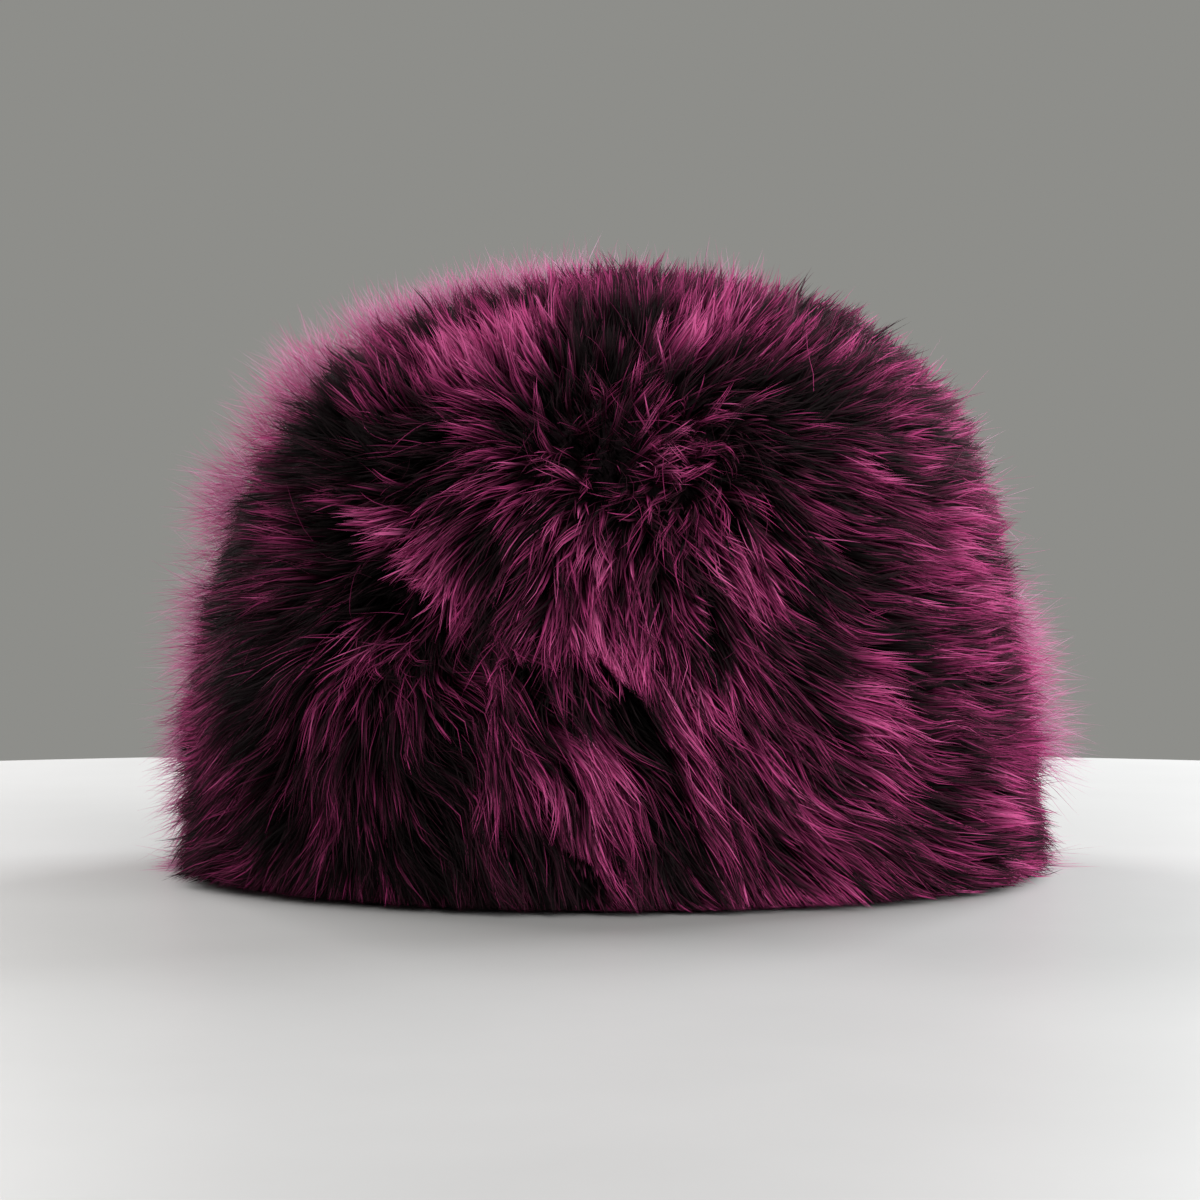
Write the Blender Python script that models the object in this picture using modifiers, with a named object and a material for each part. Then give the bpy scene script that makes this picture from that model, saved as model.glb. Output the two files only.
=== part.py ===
"""A deep-furred round cossack hat (papakha), resting on its rim.

Units are metres, +Z is up, the wearer's face is towards -Y and the origin is the centre of the rim.
The hat is sewn from three pelts: the crown, and two that go round the sides. Each pelt is a wall of
skin with its fur outside it. The fur is a dense mass with combed locks fused to it.
"""

import math
import random

import bmesh
import bpy
import numpy as np
from mathutils import Vector

# Head opening, inside the skin
HEAD_WIDTH = 0.176
HEAD_DEPTH = 0.194
HEAD_HEIGHT = 0.133
SKIN_THICKNESS = 0.0025

# Outline of the fur, over the tips of its locks
FUR_WIDTH = 0.239
FUR_DEPTH = 0.252
FUR_HEIGHT = 0.1645
LOCK_RISE = 0.0105

# Shape of every dome: how far the wall leans in, and how square its shoulder is
TAPER = 0.12
SQUARENESS = 5.0
BELLY_HEIGHT = 0.040
BELLY_SPREAD = 0.016
BELLY = 0.020

# Each seam is cut on rays from this point, so it runs square through the wall. The skins carry the
# hat at the rim, and the fur ends just above what it stands on.
HEART = Vector((0.0, 0.0, 0.055))
SEAM_GAP = 0.0004
SKIN_GAP = 0.0003
RIM_CLEARANCE = 0.0004
UNDERCUT = 0.008

AROUND = 40
UP_FUR = 10
UP_SKIN = 8

# Locks: spacing on the surface, the size of one, and the share of it that lies behind its own place
LOCK_SPACING = 0.0250
LOCK_LENGTH = 0.044
LOCK_WIDTH = 0.0200
LOCK_THICKNESS = 0.0090
LOCK_SIDES = 4
LOCK_BEND = 0.45
LOCK_FULLNESS = {0.0: 0.75, LOCK_BEND: 1.0, 1.0: 0.0}
LOCK_ROOT_DEPTH = 0.0028
LOCK_BACKSET = 0.28
FIRST_ROW = 0.009
DOWNWARD_PULL = 0.34
COMB_SCATTER = 0.16

# Where the hair turns: the fur lies away from its pelt's whorl
WHORLS = {
    "crown": {"azimuth": 1.0, "height": 0.131},
    "side_left": {"azimuth": -29.0, "height": 0.080},
    "side_right": {"azimuth": 2.0, "height": 0.116},
}

# The seam round the crown, and the two that run up the sides, from below the rim to past the crown's
CROWN_SEAM_HEIGHT = 0.124
FRONT_SEAM = [
    {"azimuth": 9.8, "height": -0.040},
    {"azimuth": 8.8, "height": 0.022},
    {"azimuth": 3.0, "height": 0.049},
    {"azimuth": -6.0, "height": 0.061},
    {"azimuth": -20.0, "height": 0.073},
    {"azimuth": -36.0, "height": 0.093},
    {"azimuth": -50.0, "height": 0.110},
    {"azimuth": -60.0, "height": 0.136},
]
BACK_SEAM = [
    {"azimuth": -177.0, "height": -0.040},
    {"azimuth": -177.0, "height": 0.136},
]


class Dome:
    """An oval dome standing on z = 0: a wall that leans in, a square shoulder and a low crown."""

    def __init__(self, width, depth, height, belly=0.0):
        self.half_width = width / 2
        self.half_depth = depth / 2
        self.height = height
        self.belly = belly

    def reach(self, z):
        """Share of the half width that the wall has at this height."""
        share = min(max(z / self.height, 0.0), 1.0)
        wall = (1 - TAPER * share) * math.sqrt(max(1 - share**SQUARENESS, 0.0))
        swell = self.belly * math.exp(-(((z - BELLY_HEIGHT) / BELLY_SPREAD) ** 2))
        return wall + swell

    def point(self, azimuth, z):
        """Azimuth in degrees: 0 in front, at -Y, and 90 at +X."""
        turn = math.radians(azimuth)
        x = self.half_width * self.reach(z) * math.sin(turn)
        y = -self.half_depth * self.reach(z) * math.cos(turn)
        return Vector((x, y, z))

    def holds(self, p):
        if p.z >= self.height:
            return False
        return math.hypot(p.x / self.half_width, p.y / self.half_depth) < self.reach(p.z)

    def onto(self, p):
        """The point of the dome on the ray from the heart through p."""
        way = (p - HEART).normalized()
        near, far = 0.0, 0.3
        for _ in range(30):
            middle = (near + far) / 2
            if self.holds(HEART + way * middle):
                near = middle
            else:
                far = middle
        return HEART + way * near

    def normal(self, p):
        step = 0.0005
        side = Vector((-p.y, p.x, 0.0))
        if side.length < 1e-5:
            side = Vector((1.0, 0.0, 0.0))
        side.normalize()
        rise = side.cross(p - HEART).normalized()
        across = self.onto(p + side * step) - self.onto(p - side * step)
        along = self.onto(p + rise * step) - self.onto(p - rise * step)
        found = across.cross(along).normalized()
        return found if found.dot(p - HEART) > 0 else -found

    def meridian(self, count):
        """Distances out and heights from the top down to the rim, closer together on the shoulder."""
        fine = [math.sin(math.pi / 2 * i / 400) for i in range(401)]
        line = [(self.reach(self.height * s) * self.half_width, self.height * s) for s in reversed(fine)]
        far = [0.0]
        for a, b in zip(line, line[1:]):
            far.append(far[-1] + math.hypot(b[0] - a[0], b[1] - a[1]))
        marks = np.linspace(0, far[-1], count)
        out = np.interp(marks, far, [p[0] for p in line])
        up = np.interp(marks, far, [p[1] for p in line])
        return [(float(x), float(z)) for x, z in zip(out, up)]


def start():
    for thing in list(bpy.data.objects):
        bpy.data.objects.remove(thing)
    groups = {}
    for name in ("cossack_hat", "cutters"):
        groups[name] = bpy.data.collections.new(name)
        bpy.context.scene.collection.children.link(groups[name])
    return groups


def make_material(name, colour, roughness):
    material = bpy.data.materials.new(name)
    material.use_nodes = True
    shader = material.node_tree.nodes["Principled BSDF"]
    shader.inputs["Base Color"].default_value = (*colour, 1.0)
    shader.inputs["Roughness"].default_value = roughness
    shader.inputs["Metallic"].default_value = 0.0
    return material


def settled(thing, group, name):
    """A new object with the mesh that this one's modifiers give. The old one is removed."""
    graph = bpy.context.evaluated_depsgraph_get()
    mesh = bpy.data.meshes.new_from_object(thing.evaluated_get(graph))
    mesh.transform(thing.matrix_world)
    bpy.data.objects.remove(thing)
    made = bpy.data.objects.new(name, mesh)
    group.objects.link(made)
    return made


def turned(name, profile, squash, group):
    """A profile of (out, up) points turned round Z, then stretched along Y by squash."""
    mesh = bpy.data.meshes.new(name)
    mesh.from_pydata([(x, 0.0, z) for x, z in profile], [(i, i + 1) for i in range(len(profile) - 1)], [])
    thing = bpy.data.objects.new(name, mesh)
    group.objects.link(thing)
    screw = thing.modifiers.new("turn", "SCREW")
    screw.steps = AROUND
    screw.render_steps = AROUND
    screw.use_merge_vertices = True
    screw.merge_threshold = 0.00001
    screw.use_smooth_shade = False
    thing.scale = (1.0, squash, 1.0)
    bpy.context.view_layer.update()
    return settled(thing, group, name)


def cut(thing, cutter, operation="DIFFERENCE", solver="EXACT"):
    """The exact solver takes crossing locks; once they are fused, only the manifold one keeps the body whole."""
    boolean = thing.modifiers.new("cut", "BOOLEAN")
    boolean.operation = operation
    boolean.solver = solver
    boolean.use_self = operation == "UNION"
    boolean.object = cutter
    bpy.context.view_layer.update()
    return settled(thing, thing.users_collection[0], thing.name)


def hide(cutter):
    cutter.hide_render = True
    cutter.display_type = "WIRE"


def skin_wall(group):
    """The skin side of all the pelts, as one wall that the seams then part."""
    inside = Dome(HEAD_WIDTH, HEAD_DEPTH, HEAD_HEIGHT)
    outside = Dome(HEAD_WIDTH + 2 * SKIN_THICKNESS, HEAD_DEPTH, HEAD_HEIGHT + SKIN_THICKNESS)
    profile = outside.meridian(UP_SKIN) + inside.meridian(UP_SKIN)[::-1]
    return turned("skin", profile, HEAD_DEPTH / HEAD_WIDTH, group)


def head_block(group):
    """What the fur mass is hollowed with: the skin's outside, the gap, and a foot below the rim."""
    wide = HEAD_WIDTH + 2 * (SKIN_THICKNESS + SKIN_GAP)
    block = Dome(wide, HEAD_DEPTH, HEAD_HEIGHT + SKIN_THICKNESS + SKIN_GAP)
    profile = block.meridian(UP_SKIN) + [(wide / 2, -UNDERCUT), (0.0, -UNDERCUT)]
    made = turned("head_block", profile, HEAD_DEPTH / HEAD_WIDTH, group)
    hide(made)
    return made


def floor_block(group):
    mesh = bpy.data.meshes.new("floor_block")
    bm = bmesh.new()
    bmesh.ops.create_cube(bm, size=1.0)
    bmesh.ops.translate(bm, verts=bm.verts, vec=(0.0, 0.0, RIM_CLEARANCE - 0.5))
    bm.to_mesh(mesh)
    bm.free()
    made = bpy.data.objects.new("floor_block", mesh)
    group.objects.link(made)
    hide(made)
    return made


def smooth_path(rows, steps):
    """Azimuths and heights through the rows, on a Catmull-Rom curve."""
    points = [(row["azimuth"], row["height"]) for row in rows]
    ends = [points[0], *points, points[-1]]
    path = []
    for a, b, c, d in zip(ends, ends[1:], ends[2:], ends[3:]):
        for i in range(steps):
            t = i / steps
            path.append(
                tuple(
                    0.5 * (2 * q + (r - p) * t + (2 * p - 5 * q + 4 * r - s) * t**2 + (3 * q - p - 3 * r + s) * t**3)
                    for p, q, r, s in zip(a, b, c, d)
                )
            )
    return [*path, points[-1]]


def seam_sheet(name, points, closed, group):
    """A thin sheet on rays from the heart through the points, from inside the hollow to past the fur."""
    inner, outer = 0.35, 1.6
    mesh = bpy.data.meshes.new(name)
    bm = bmesh.new()
    low = [bm.verts.new(HEART + (p - HEART) * inner) for p in points]
    high = [bm.verts.new(HEART + (p - HEART) * outer) for p in points]
    count = len(points) if closed else len(points) - 1
    for i in range(count):
        j = (i + 1) % len(points)
        bm.faces.new((low[i], low[j], high[j], high[i]))
    bm.to_mesh(mesh)
    bm.free()
    sheet = bpy.data.objects.new(name, mesh)
    group.objects.link(sheet)
    thick = sheet.modifiers.new("thickness", "SOLIDIFY")
    thick.thickness = SEAM_GAP
    thick.offset = 0.0
    hide(sheet)
    bpy.context.view_layer.update()
    made = settled(sheet, group, name)
    hide(made)
    return made


def crown_seam(outline, group):
    points = [outline.point(360 * i / AROUND, CROWN_SEAM_HEIGHT) for i in range(AROUND)]
    return seam_sheet("crown_seam", points, True, group)


def side_seam(name, rows, outline, group):
    points = [outline.point(azimuth, height) for azimuth, height in smooth_path(rows, 4)]
    return seam_sheet(name, points, False, group)


def pelt_at(azimuth, height):
    """Name of the pelt that covers this place, by the seams' tables."""
    if height > CROWN_SEAM_HEIGHT:
        return "crown"
    heights = [row["height"] for row in FRONT_SEAM]
    front = float(np.interp(height, heights, [row["azimuth"] for row in FRONT_SEAM]))
    return "side_left" if BACK_SEAM[0]["azimuth"] < azimuth < front else "side_right"


def comb_way(mass, place, normal, pelt, chance):
    """Which way the hair lies here: away from the pelt's whorl, a little down, and never quite the same."""
    whorl = WHORLS[pelt]
    away = place - mass.point(whorl["azimuth"], whorl["height"])
    away = (away - normal * away.dot(normal)).normalized()
    down = Vector((0.0, 0.0, -1.0))
    down -= normal * down.dot(normal)
    side = normal.cross(away)
    way = away + down * DOWNWARD_PULL + side * chance.uniform(-COMB_SCATTER, COMB_SCATTER)
    return way.normalized()


def lock_template():
    """One straight lock along +Z from 0 to 1: a cone that is cut across where it will bend."""
    bm = bmesh.new()
    bmesh.ops.create_cone(
        bm, cap_ends=True, cap_tris=True, segments=LOCK_SIDES, radius1=0.5, radius2=0.0, depth=1.0
    )
    bmesh.ops.translate(bm, verts=bm.verts, vec=(0.0, 0.0, 0.5))
    bmesh.ops.remove_doubles(bm, verts=bm.verts, dist=0.0001)
    parts = [*bm.verts, *bm.edges, *bm.faces]
    bmesh.ops.bisect_plane(bm, geom=parts, plane_co=(0, 0, LOCK_BEND), plane_no=(0, 0, 1))
    bm.verts.ensure_lookup_table()
    bm.verts.index_update()
    return bm


def add_lock(bm, template, mass, root, way, size):
    """A copy of the template, laid along the dome from its root and bowed outwards."""
    spine = {}
    for share in LOCK_FULLNESS:
        place = mass.onto(root + way * (LOCK_LENGTH * size * share))
        normal = mass.normal(place)
        lift = -LOCK_ROOT_DEPTH + (LOCK_RISE + LOCK_ROOT_DEPTH) * share**0.75
        spine[share] = (place + normal * lift, normal)
    placed = []
    for vert in template.verts:
        share = min(spine, key=lambda s: abs(s - vert.co.z))
        centre, normal = spine[share]
        across = normal.cross(way).normalized()
        taper = max(1 - share, 0.001)
        out = Vector((vert.co.x, vert.co.y)) / taper * LOCK_FULLNESS[share] * size
        placed.append(bm.verts.new(centre + across * (out.x * LOCK_WIDTH) + normal * (out.y * LOCK_THICKNESS)))
    for face in template.faces:
        bm.faces.new([placed[v.index] for v in face.verts])


def lock_roots(mass, chance):
    """Roots in rings up the wall and over the crown, each ring turned by a random share of its step."""
    line = mass.meridian(200)
    far = [0.0]
    for a, b in zip(line, line[1:]):
        far.append(far[-1] + math.hypot(b[0] - a[0], b[1] - a[1]))
    rings = round((far[-1] - FIRST_ROW) / LOCK_SPACING)
    roots = [(0.0, line[1][1])]
    for ring in range(1, rings + 1):
        mark = (far[-1] - FIRST_ROW) * ring / rings
        height = float(np.interp(mark, far, [p[1] for p in line]))
        around = 2 * math.pi * float(np.interp(mark, far, [p[0] for p in line]))
        count = max(round(around / LOCK_SPACING), 5)
        start_turn = chance.uniform(0, 360)
        for i in range(count):
            azimuth = start_turn + 360 * (i + chance.uniform(-0.22, 0.22)) / count
            roots.append(((azimuth + 180) % 360 - 180, height))
    return roots


def locks(mass, group):
    """Every lock of the fur, as one mesh of crossing cones."""
    chance = random.Random(7)
    template = lock_template()
    bm = bmesh.new()
    for azimuth, height in lock_roots(mass, chance):
        root = mass.point(azimuth, height)
        normal = mass.normal(root)
        way = comb_way(mass, root, normal, pelt_at(azimuth, height), chance)
        size = chance.uniform(0.85, 1.12)
        root = mass.onto(root - way * (LOCK_LENGTH * size * LOCK_BACKSET))
        add_lock(bm, template, mass, root, way, size)
    bmesh.ops.recalc_face_normals(bm, faces=bm.faces)
    mesh = bpy.data.meshes.new("locks")
    bm.to_mesh(mesh)
    bm.free()
    template.free()
    made = bpy.data.objects.new("locks", mesh)
    group.objects.link(made)
    hide(made)
    return made


def fur_mass(groups):
    """The fur of all the pelts in one: a solid dome, its locks fused on, cut level at the rim and hollowed."""
    mass = Dome(FUR_WIDTH - 2 * LOCK_RISE, FUR_DEPTH - 2 * LOCK_RISE, FUR_HEIGHT - LOCK_RISE, BELLY)
    squash = mass.half_depth / mass.half_width
    profile = mass.meridian(UP_FUR) + [(mass.half_width, -UNDERCUT / 2), (0.0, -UNDERCUT / 2)]
    fur = turned("fur", profile, squash, groups["cossack_hat"])
    fur = cut(fur, locks(mass, groups["cutters"]), "UNION")
    fur = cut(fur, floor_block(groups["cutters"]), solver="MANIFOLD")
    return cut(fur, head_block(groups["cutters"]), solver="MANIFOLD")


def largest(count, thing):
    """The largest bodies of a thing that a seam has cut. Lock tips that the cut left loose are dropped."""
    bpy.ops.object.select_all(action="DESELECT")
    bpy.context.view_layer.objects.active = thing
    thing.select_set(True)
    bpy.ops.object.mode_set(mode="EDIT")
    bpy.ops.mesh.separate(type="LOOSE")
    bpy.ops.object.mode_set(mode="OBJECT")
    bodies = sorted(bpy.context.selected_objects, key=lambda body: -len(body.data.vertices))
    for tip in bodies[count:]:
        bpy.data.objects.remove(tip)
    return bodies[:count]


def part_pelts(wall, kind, seams, material):
    """Cuts a wall along its seams, into crown_, side_left_ and side_right_ kind."""
    pair = largest(2, cut(wall, seams["crown"], solver="MANIFOLD"))
    crown, sides = sorted(pair, key=lambda body: -body.bound_box[0][2])
    (opened,) = largest(1, cut(sides, seams["front"], solver="MANIFOLD"))
    pair = largest(2, cut(opened, seams["back"], solver="MANIFOLD"))
    left, right = sorted(pair, key=lambda body: body.bound_box[4][0])
    for pelt, name in ((crown, "crown"), (left, "side_left"), (right, "side_right")):
        pelt.name = f"{name}_{kind}"
        pelt.data.name = pelt.name
        pelt.data.materials.clear()
        pelt.data.materials.append(material)


def build():
    groups = start()
    outline = Dome(FUR_WIDTH, FUR_DEPTH, FUR_HEIGHT, BELLY)
    seams = {
        "crown": crown_seam(outline, groups["cutters"]),
        "front": side_seam("front_seam", FRONT_SEAM, outline, groups["cutters"]),
        "back": side_seam("back_seam", BACK_SEAM, outline, groups["cutters"]),
    }
    skin_material = make_material("skin", (0.46, 0.38, 0.30), 0.85)
    fur_material = make_material("fur", (0.20, 0.035, 0.115), 0.75)
    part_pelts(skin_wall(groups["cossack_hat"]), "skin", seams, skin_material)
    part_pelts(fur_mass(groups), "fur", seams, fur_material)


build()
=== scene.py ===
import math

import bpy
import numpy as np
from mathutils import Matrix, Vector
from mathutils.kdtree import KDTree


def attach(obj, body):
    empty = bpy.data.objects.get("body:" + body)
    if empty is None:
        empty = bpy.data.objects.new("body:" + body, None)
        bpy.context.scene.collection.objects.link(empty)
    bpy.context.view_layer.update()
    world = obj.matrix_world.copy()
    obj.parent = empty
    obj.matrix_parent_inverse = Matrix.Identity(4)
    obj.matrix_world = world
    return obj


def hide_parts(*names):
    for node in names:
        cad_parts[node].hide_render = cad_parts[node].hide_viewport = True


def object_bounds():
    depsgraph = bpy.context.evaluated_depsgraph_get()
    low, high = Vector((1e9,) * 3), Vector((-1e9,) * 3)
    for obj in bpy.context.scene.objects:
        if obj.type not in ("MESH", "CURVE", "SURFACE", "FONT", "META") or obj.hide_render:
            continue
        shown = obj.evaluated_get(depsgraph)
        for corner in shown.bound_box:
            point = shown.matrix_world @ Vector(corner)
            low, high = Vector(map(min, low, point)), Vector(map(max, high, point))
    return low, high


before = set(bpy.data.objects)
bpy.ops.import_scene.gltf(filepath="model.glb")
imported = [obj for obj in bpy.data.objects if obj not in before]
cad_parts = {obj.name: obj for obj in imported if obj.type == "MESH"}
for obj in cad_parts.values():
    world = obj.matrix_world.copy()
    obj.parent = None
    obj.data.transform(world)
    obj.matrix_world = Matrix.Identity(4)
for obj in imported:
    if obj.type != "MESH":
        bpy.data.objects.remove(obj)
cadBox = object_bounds()
cadLow, cadHigh = cadBox
bpy.ops.object.select_all(action="DESELECT")

# Lengths are in metres, azimuths in degrees: 0 in front, at -Y, and 90 at +X.
# The hat over its fur tips is a leaning wall with a square shoulder and a low crown.
hatForm = {
    "halfWidth": (cadHigh.x - cadLow.x) / 2 * 1.008,
    "halfDepth": (cadHigh.y - cadLow.y) / 2 * 1.004,
    "height": cadHigh.z * 0.997,
    "taper": 0.12,
    "squareness": 5.0,
    "belly": 0.020,
    "bellyHeight": 0.040,
    "bellySpread": 0.016,
    "heart": np.array((0.0, 0.0, 0.055)),  # every part of the wall can be seen from this point
    "pile": 0.0125,  # from the roots that show to the fur tips
    "rim": 0.0012,  # lowest root
}

pile = hatForm["pile"]

# The photo's camera: level, with its horizon across the middle of the frame.
cameraPlace = {"x": -0.0030, "y": -0.776, "z": 0.072, "pixels": 1200, "focalPixels": 2890, "sensor": 36.0}
photoEye = np.array((cameraPlace["x"], cameraPlace["y"], cameraPlace["z"]))
perPixel = -cameraPlace["y"] / cameraPlace["focalPixels"]  # metres that a pixel covers at the hat's axis

# The front seam, from below the rim up to past the crown's seam.
frontSeam = [  # azimuth, height
    (9.8, -0.010),
    (8.8, 0.022),
    (3.0, 0.049),
    (-6.0, 0.061),
    (-20.0, 0.073),
    (-36.0, 0.093),
    (-50.0, 0.110),
    (-60.0, 0.136),
]
backSeamAzimuth = -177.0
crownSeamHeight = 0.124
crownRootHeight = 0.93 * crownSeamHeight  # the crown's hair grows from above this height

# Which way the hair lies, read at places on the photo. x and y are pixels; right and down are the way.
combUpper = [  # x, y, right, down
    (350, 400, -0.75, -0.65), (420, 340, -0.65, -0.75), (470, 300, -0.55, -0.85), (520, 290, -0.4, -0.9),
    (560, 330, -0.5, -0.8), (600, 285, -0.1, -1.0), (640, 290, 0.1, -1.0), (700, 290, 0.2, -1.0),
    (760, 290, 0.4, -0.9), (800, 320, 0.75, -0.65), (800, 350, 0.95, -0.3), (800, 380, 0.95, 0.3),
    (780, 430, 0.55, 0.83), (450, 330, -0.6, -0.8), (520, 400, -0.9, 0.0), (440, 430, -0.7, 0.3),
    (720, 380, 0.4, 0.3), (660, 340, 0.4, -0.9), (360, 470, -0.8, 0.35), (420, 470, -0.7, 0.65),
    (480, 450, -0.7, 0.7), (530, 480, -0.5, 0.85), (560, 470, -0.45, 0.9), (600, 500, -0.3, 1.0),
    (650, 520, 0.0, 1.0), (700, 480, 0.2, 1.0), (406, 497, -0.6, 0.8), (458, 535, -0.45, 0.9),
    (300, 440, -1.0, 0.15), (265, 480, -0.95, 0.25), (311, 365, -0.7, -0.7), (740, 470, 0.3, 0.95),
    (490, 530, -0.35, 0.95), (520, 560, -0.25, 0.95), (440, 500, -0.55, 0.85), (430, 560, -0.45, 0.9),
    (860, 420, 0.9, 0.4), (930, 440, 0.95, 0.3), (900, 520, 0.85, 0.5), (790, 567, 0.4, 0.9),
    (850, 340, 0.9, -0.35), (930, 535, 0.9, 0.4), (870, 370, 1.0, 0.05), (895, 622, 0.95, 0.35),
    (496, 573, -0.4, 0.9), (445, 600, -0.2, 1.0), (585, 573, 0.0, 1.0), (540, 630, -0.1, 1.0),
    (662, 598, 0.1, 1.0), (636, 675, 0.25, 0.95), (687, 726, 0.4, 0.9), (700, 750, 0.45, 0.9),
    (720, 620, 0.4, 0.9), (750, 540, 0.4, 0.9), (820, 500, 0.6, 0.8), (850, 560, 0.75, 0.65),
    (900, 400, 1.0, 0.2), (950, 500, 0.95, 0.3), (880, 470, 0.85, 0.55), (895, 579, 0.9, 0.45),
    (940, 600, 0.95, 0.35), (975, 640, 1.0, 0.2), (1014, 698, 1.0, 0.15), (895, 718, 0.85, 0.5),
    (806, 665, 0.7, 0.75), (777, 757, 0.6, 0.8), (856, 836, 0.75, 0.6), (974, 836, 0.9, 0.4),
    (950, 760, 0.95, 0.3), (1014, 856, 0.95, 0.35), (737, 836, 0.45, 0.9), (720, 890, 0.35, 0.95),
    (840, 890, 0.6, 0.8),
]
combLeft = [  # x, y, right, down
    (250, 480, -1.0, 0.1), (300, 520, -0.95, 0.25), (300, 560, -0.9, 0.4), (250, 600, -0.75, 0.65),
    (240, 545, -0.95, 0.3), (220, 575, -0.85, 0.5), (200, 600, -0.8, 0.6), (270, 640, -0.6, 0.8),
    (300, 620, -0.5, 0.85), (220, 690, -0.55, 0.85), (185, 700, -0.6, 0.8), (340, 595, -0.8, 0.4),
    (360, 560, -0.7, 0.4), (400, 570, 0.3, 0.9), (380, 620, -0.1, 1.0), (330, 650, -0.4, 0.9),
    (328, 710, -0.1, 1.0), (303, 760, -0.2, 1.0), (240, 735, -0.5, 0.85), (250, 800, -0.6, 0.8),
    (200, 850, -0.5, 0.8), (200, 640, -0.7, 0.7), (440, 650, 0.5, 0.9), (380, 722, 0.6, 0.8),
    (400, 750, 0.5, 0.9), (405, 786, 0.8, 0.6), (380, 837, 0.5, 0.85), (300, 860, -0.1, 1.0),
    (456, 700, 0.85, 0.5), (456, 735, 0.9, 0.4), (515, 700, 0.8, 0.6), (540, 735, 0.6, 0.8),
    (520, 680, 0.3, 0.9), (570, 690, 0.25, 0.95), (620, 740, 0.35, 0.95), (500, 780, 0.6, 0.8),
    (560, 770, 0.4, 0.9), (590, 800, 0.4, 0.9), (520, 830, 0.4, 0.9), (450, 840, 0.6, 0.8),
    (598, 764, 0.3, 1.0), (658, 856, 0.3, 0.95), (480, 890, 0.4, 0.9), (600, 890, 0.3, 0.95),
]
# Where the photo doesn't reach: around is towards rising azimuth, and up follows the wall and the crown.
combAround = [  # azimuth, height, around, up
    (88, 0.120, 1.0, 0.05), (88, 0.080, 1.0, -0.15), (88, 0.040, 1.0, -0.25), (88, 0.010, 0.8, -0.6),
    (125, 0.130, 0.8, -0.5), (125, 0.080, 0.8, -0.7), (125, 0.040, 0.7, -0.8), (125, 0.010, 0.5, -0.9),
    (155, 0.130, 0.4, -0.9), (155, 0.080, 0.4, -1.0), (155, 0.030, 0.3, -1.0),
    (180, 0.150, 0.0, -1.0), (180, 0.110, 0.1, -1.0), (180, 0.060, -0.1, -1.0), (180, 0.015, 0.0, -1.0),
    (-155, 0.130, -0.4, -0.9), (-155, 0.080, -0.4, -1.0), (-155, 0.030, -0.3, -1.0),
    (-125, 0.130, -0.8, -0.5), (-125, 0.080, -0.8, -0.7), (-125, 0.040, -0.7, -0.8),
    (-125, 0.010, -0.5, -0.9), (-90, 0.120, -1.0, 0.05), (-90, 0.080, -1.0, -0.15),
    (-90, 0.040, -0.9, -0.5), (-90, 0.010, -0.6, -0.8),
    (0, 0.1635, 0.0, 1.0), (60, 0.161, 0.7, 0.6), (-60, 0.161, -0.7, 0.6), (180, 0.1635, 0.1, -1.0),
    (90, 0.155, 0.8, -0.3), (-90, 0.155, -0.8, -0.3), (130, 0.158, 0.5, -0.8), (-130, 0.158, -0.5, -0.8),
]

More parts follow.
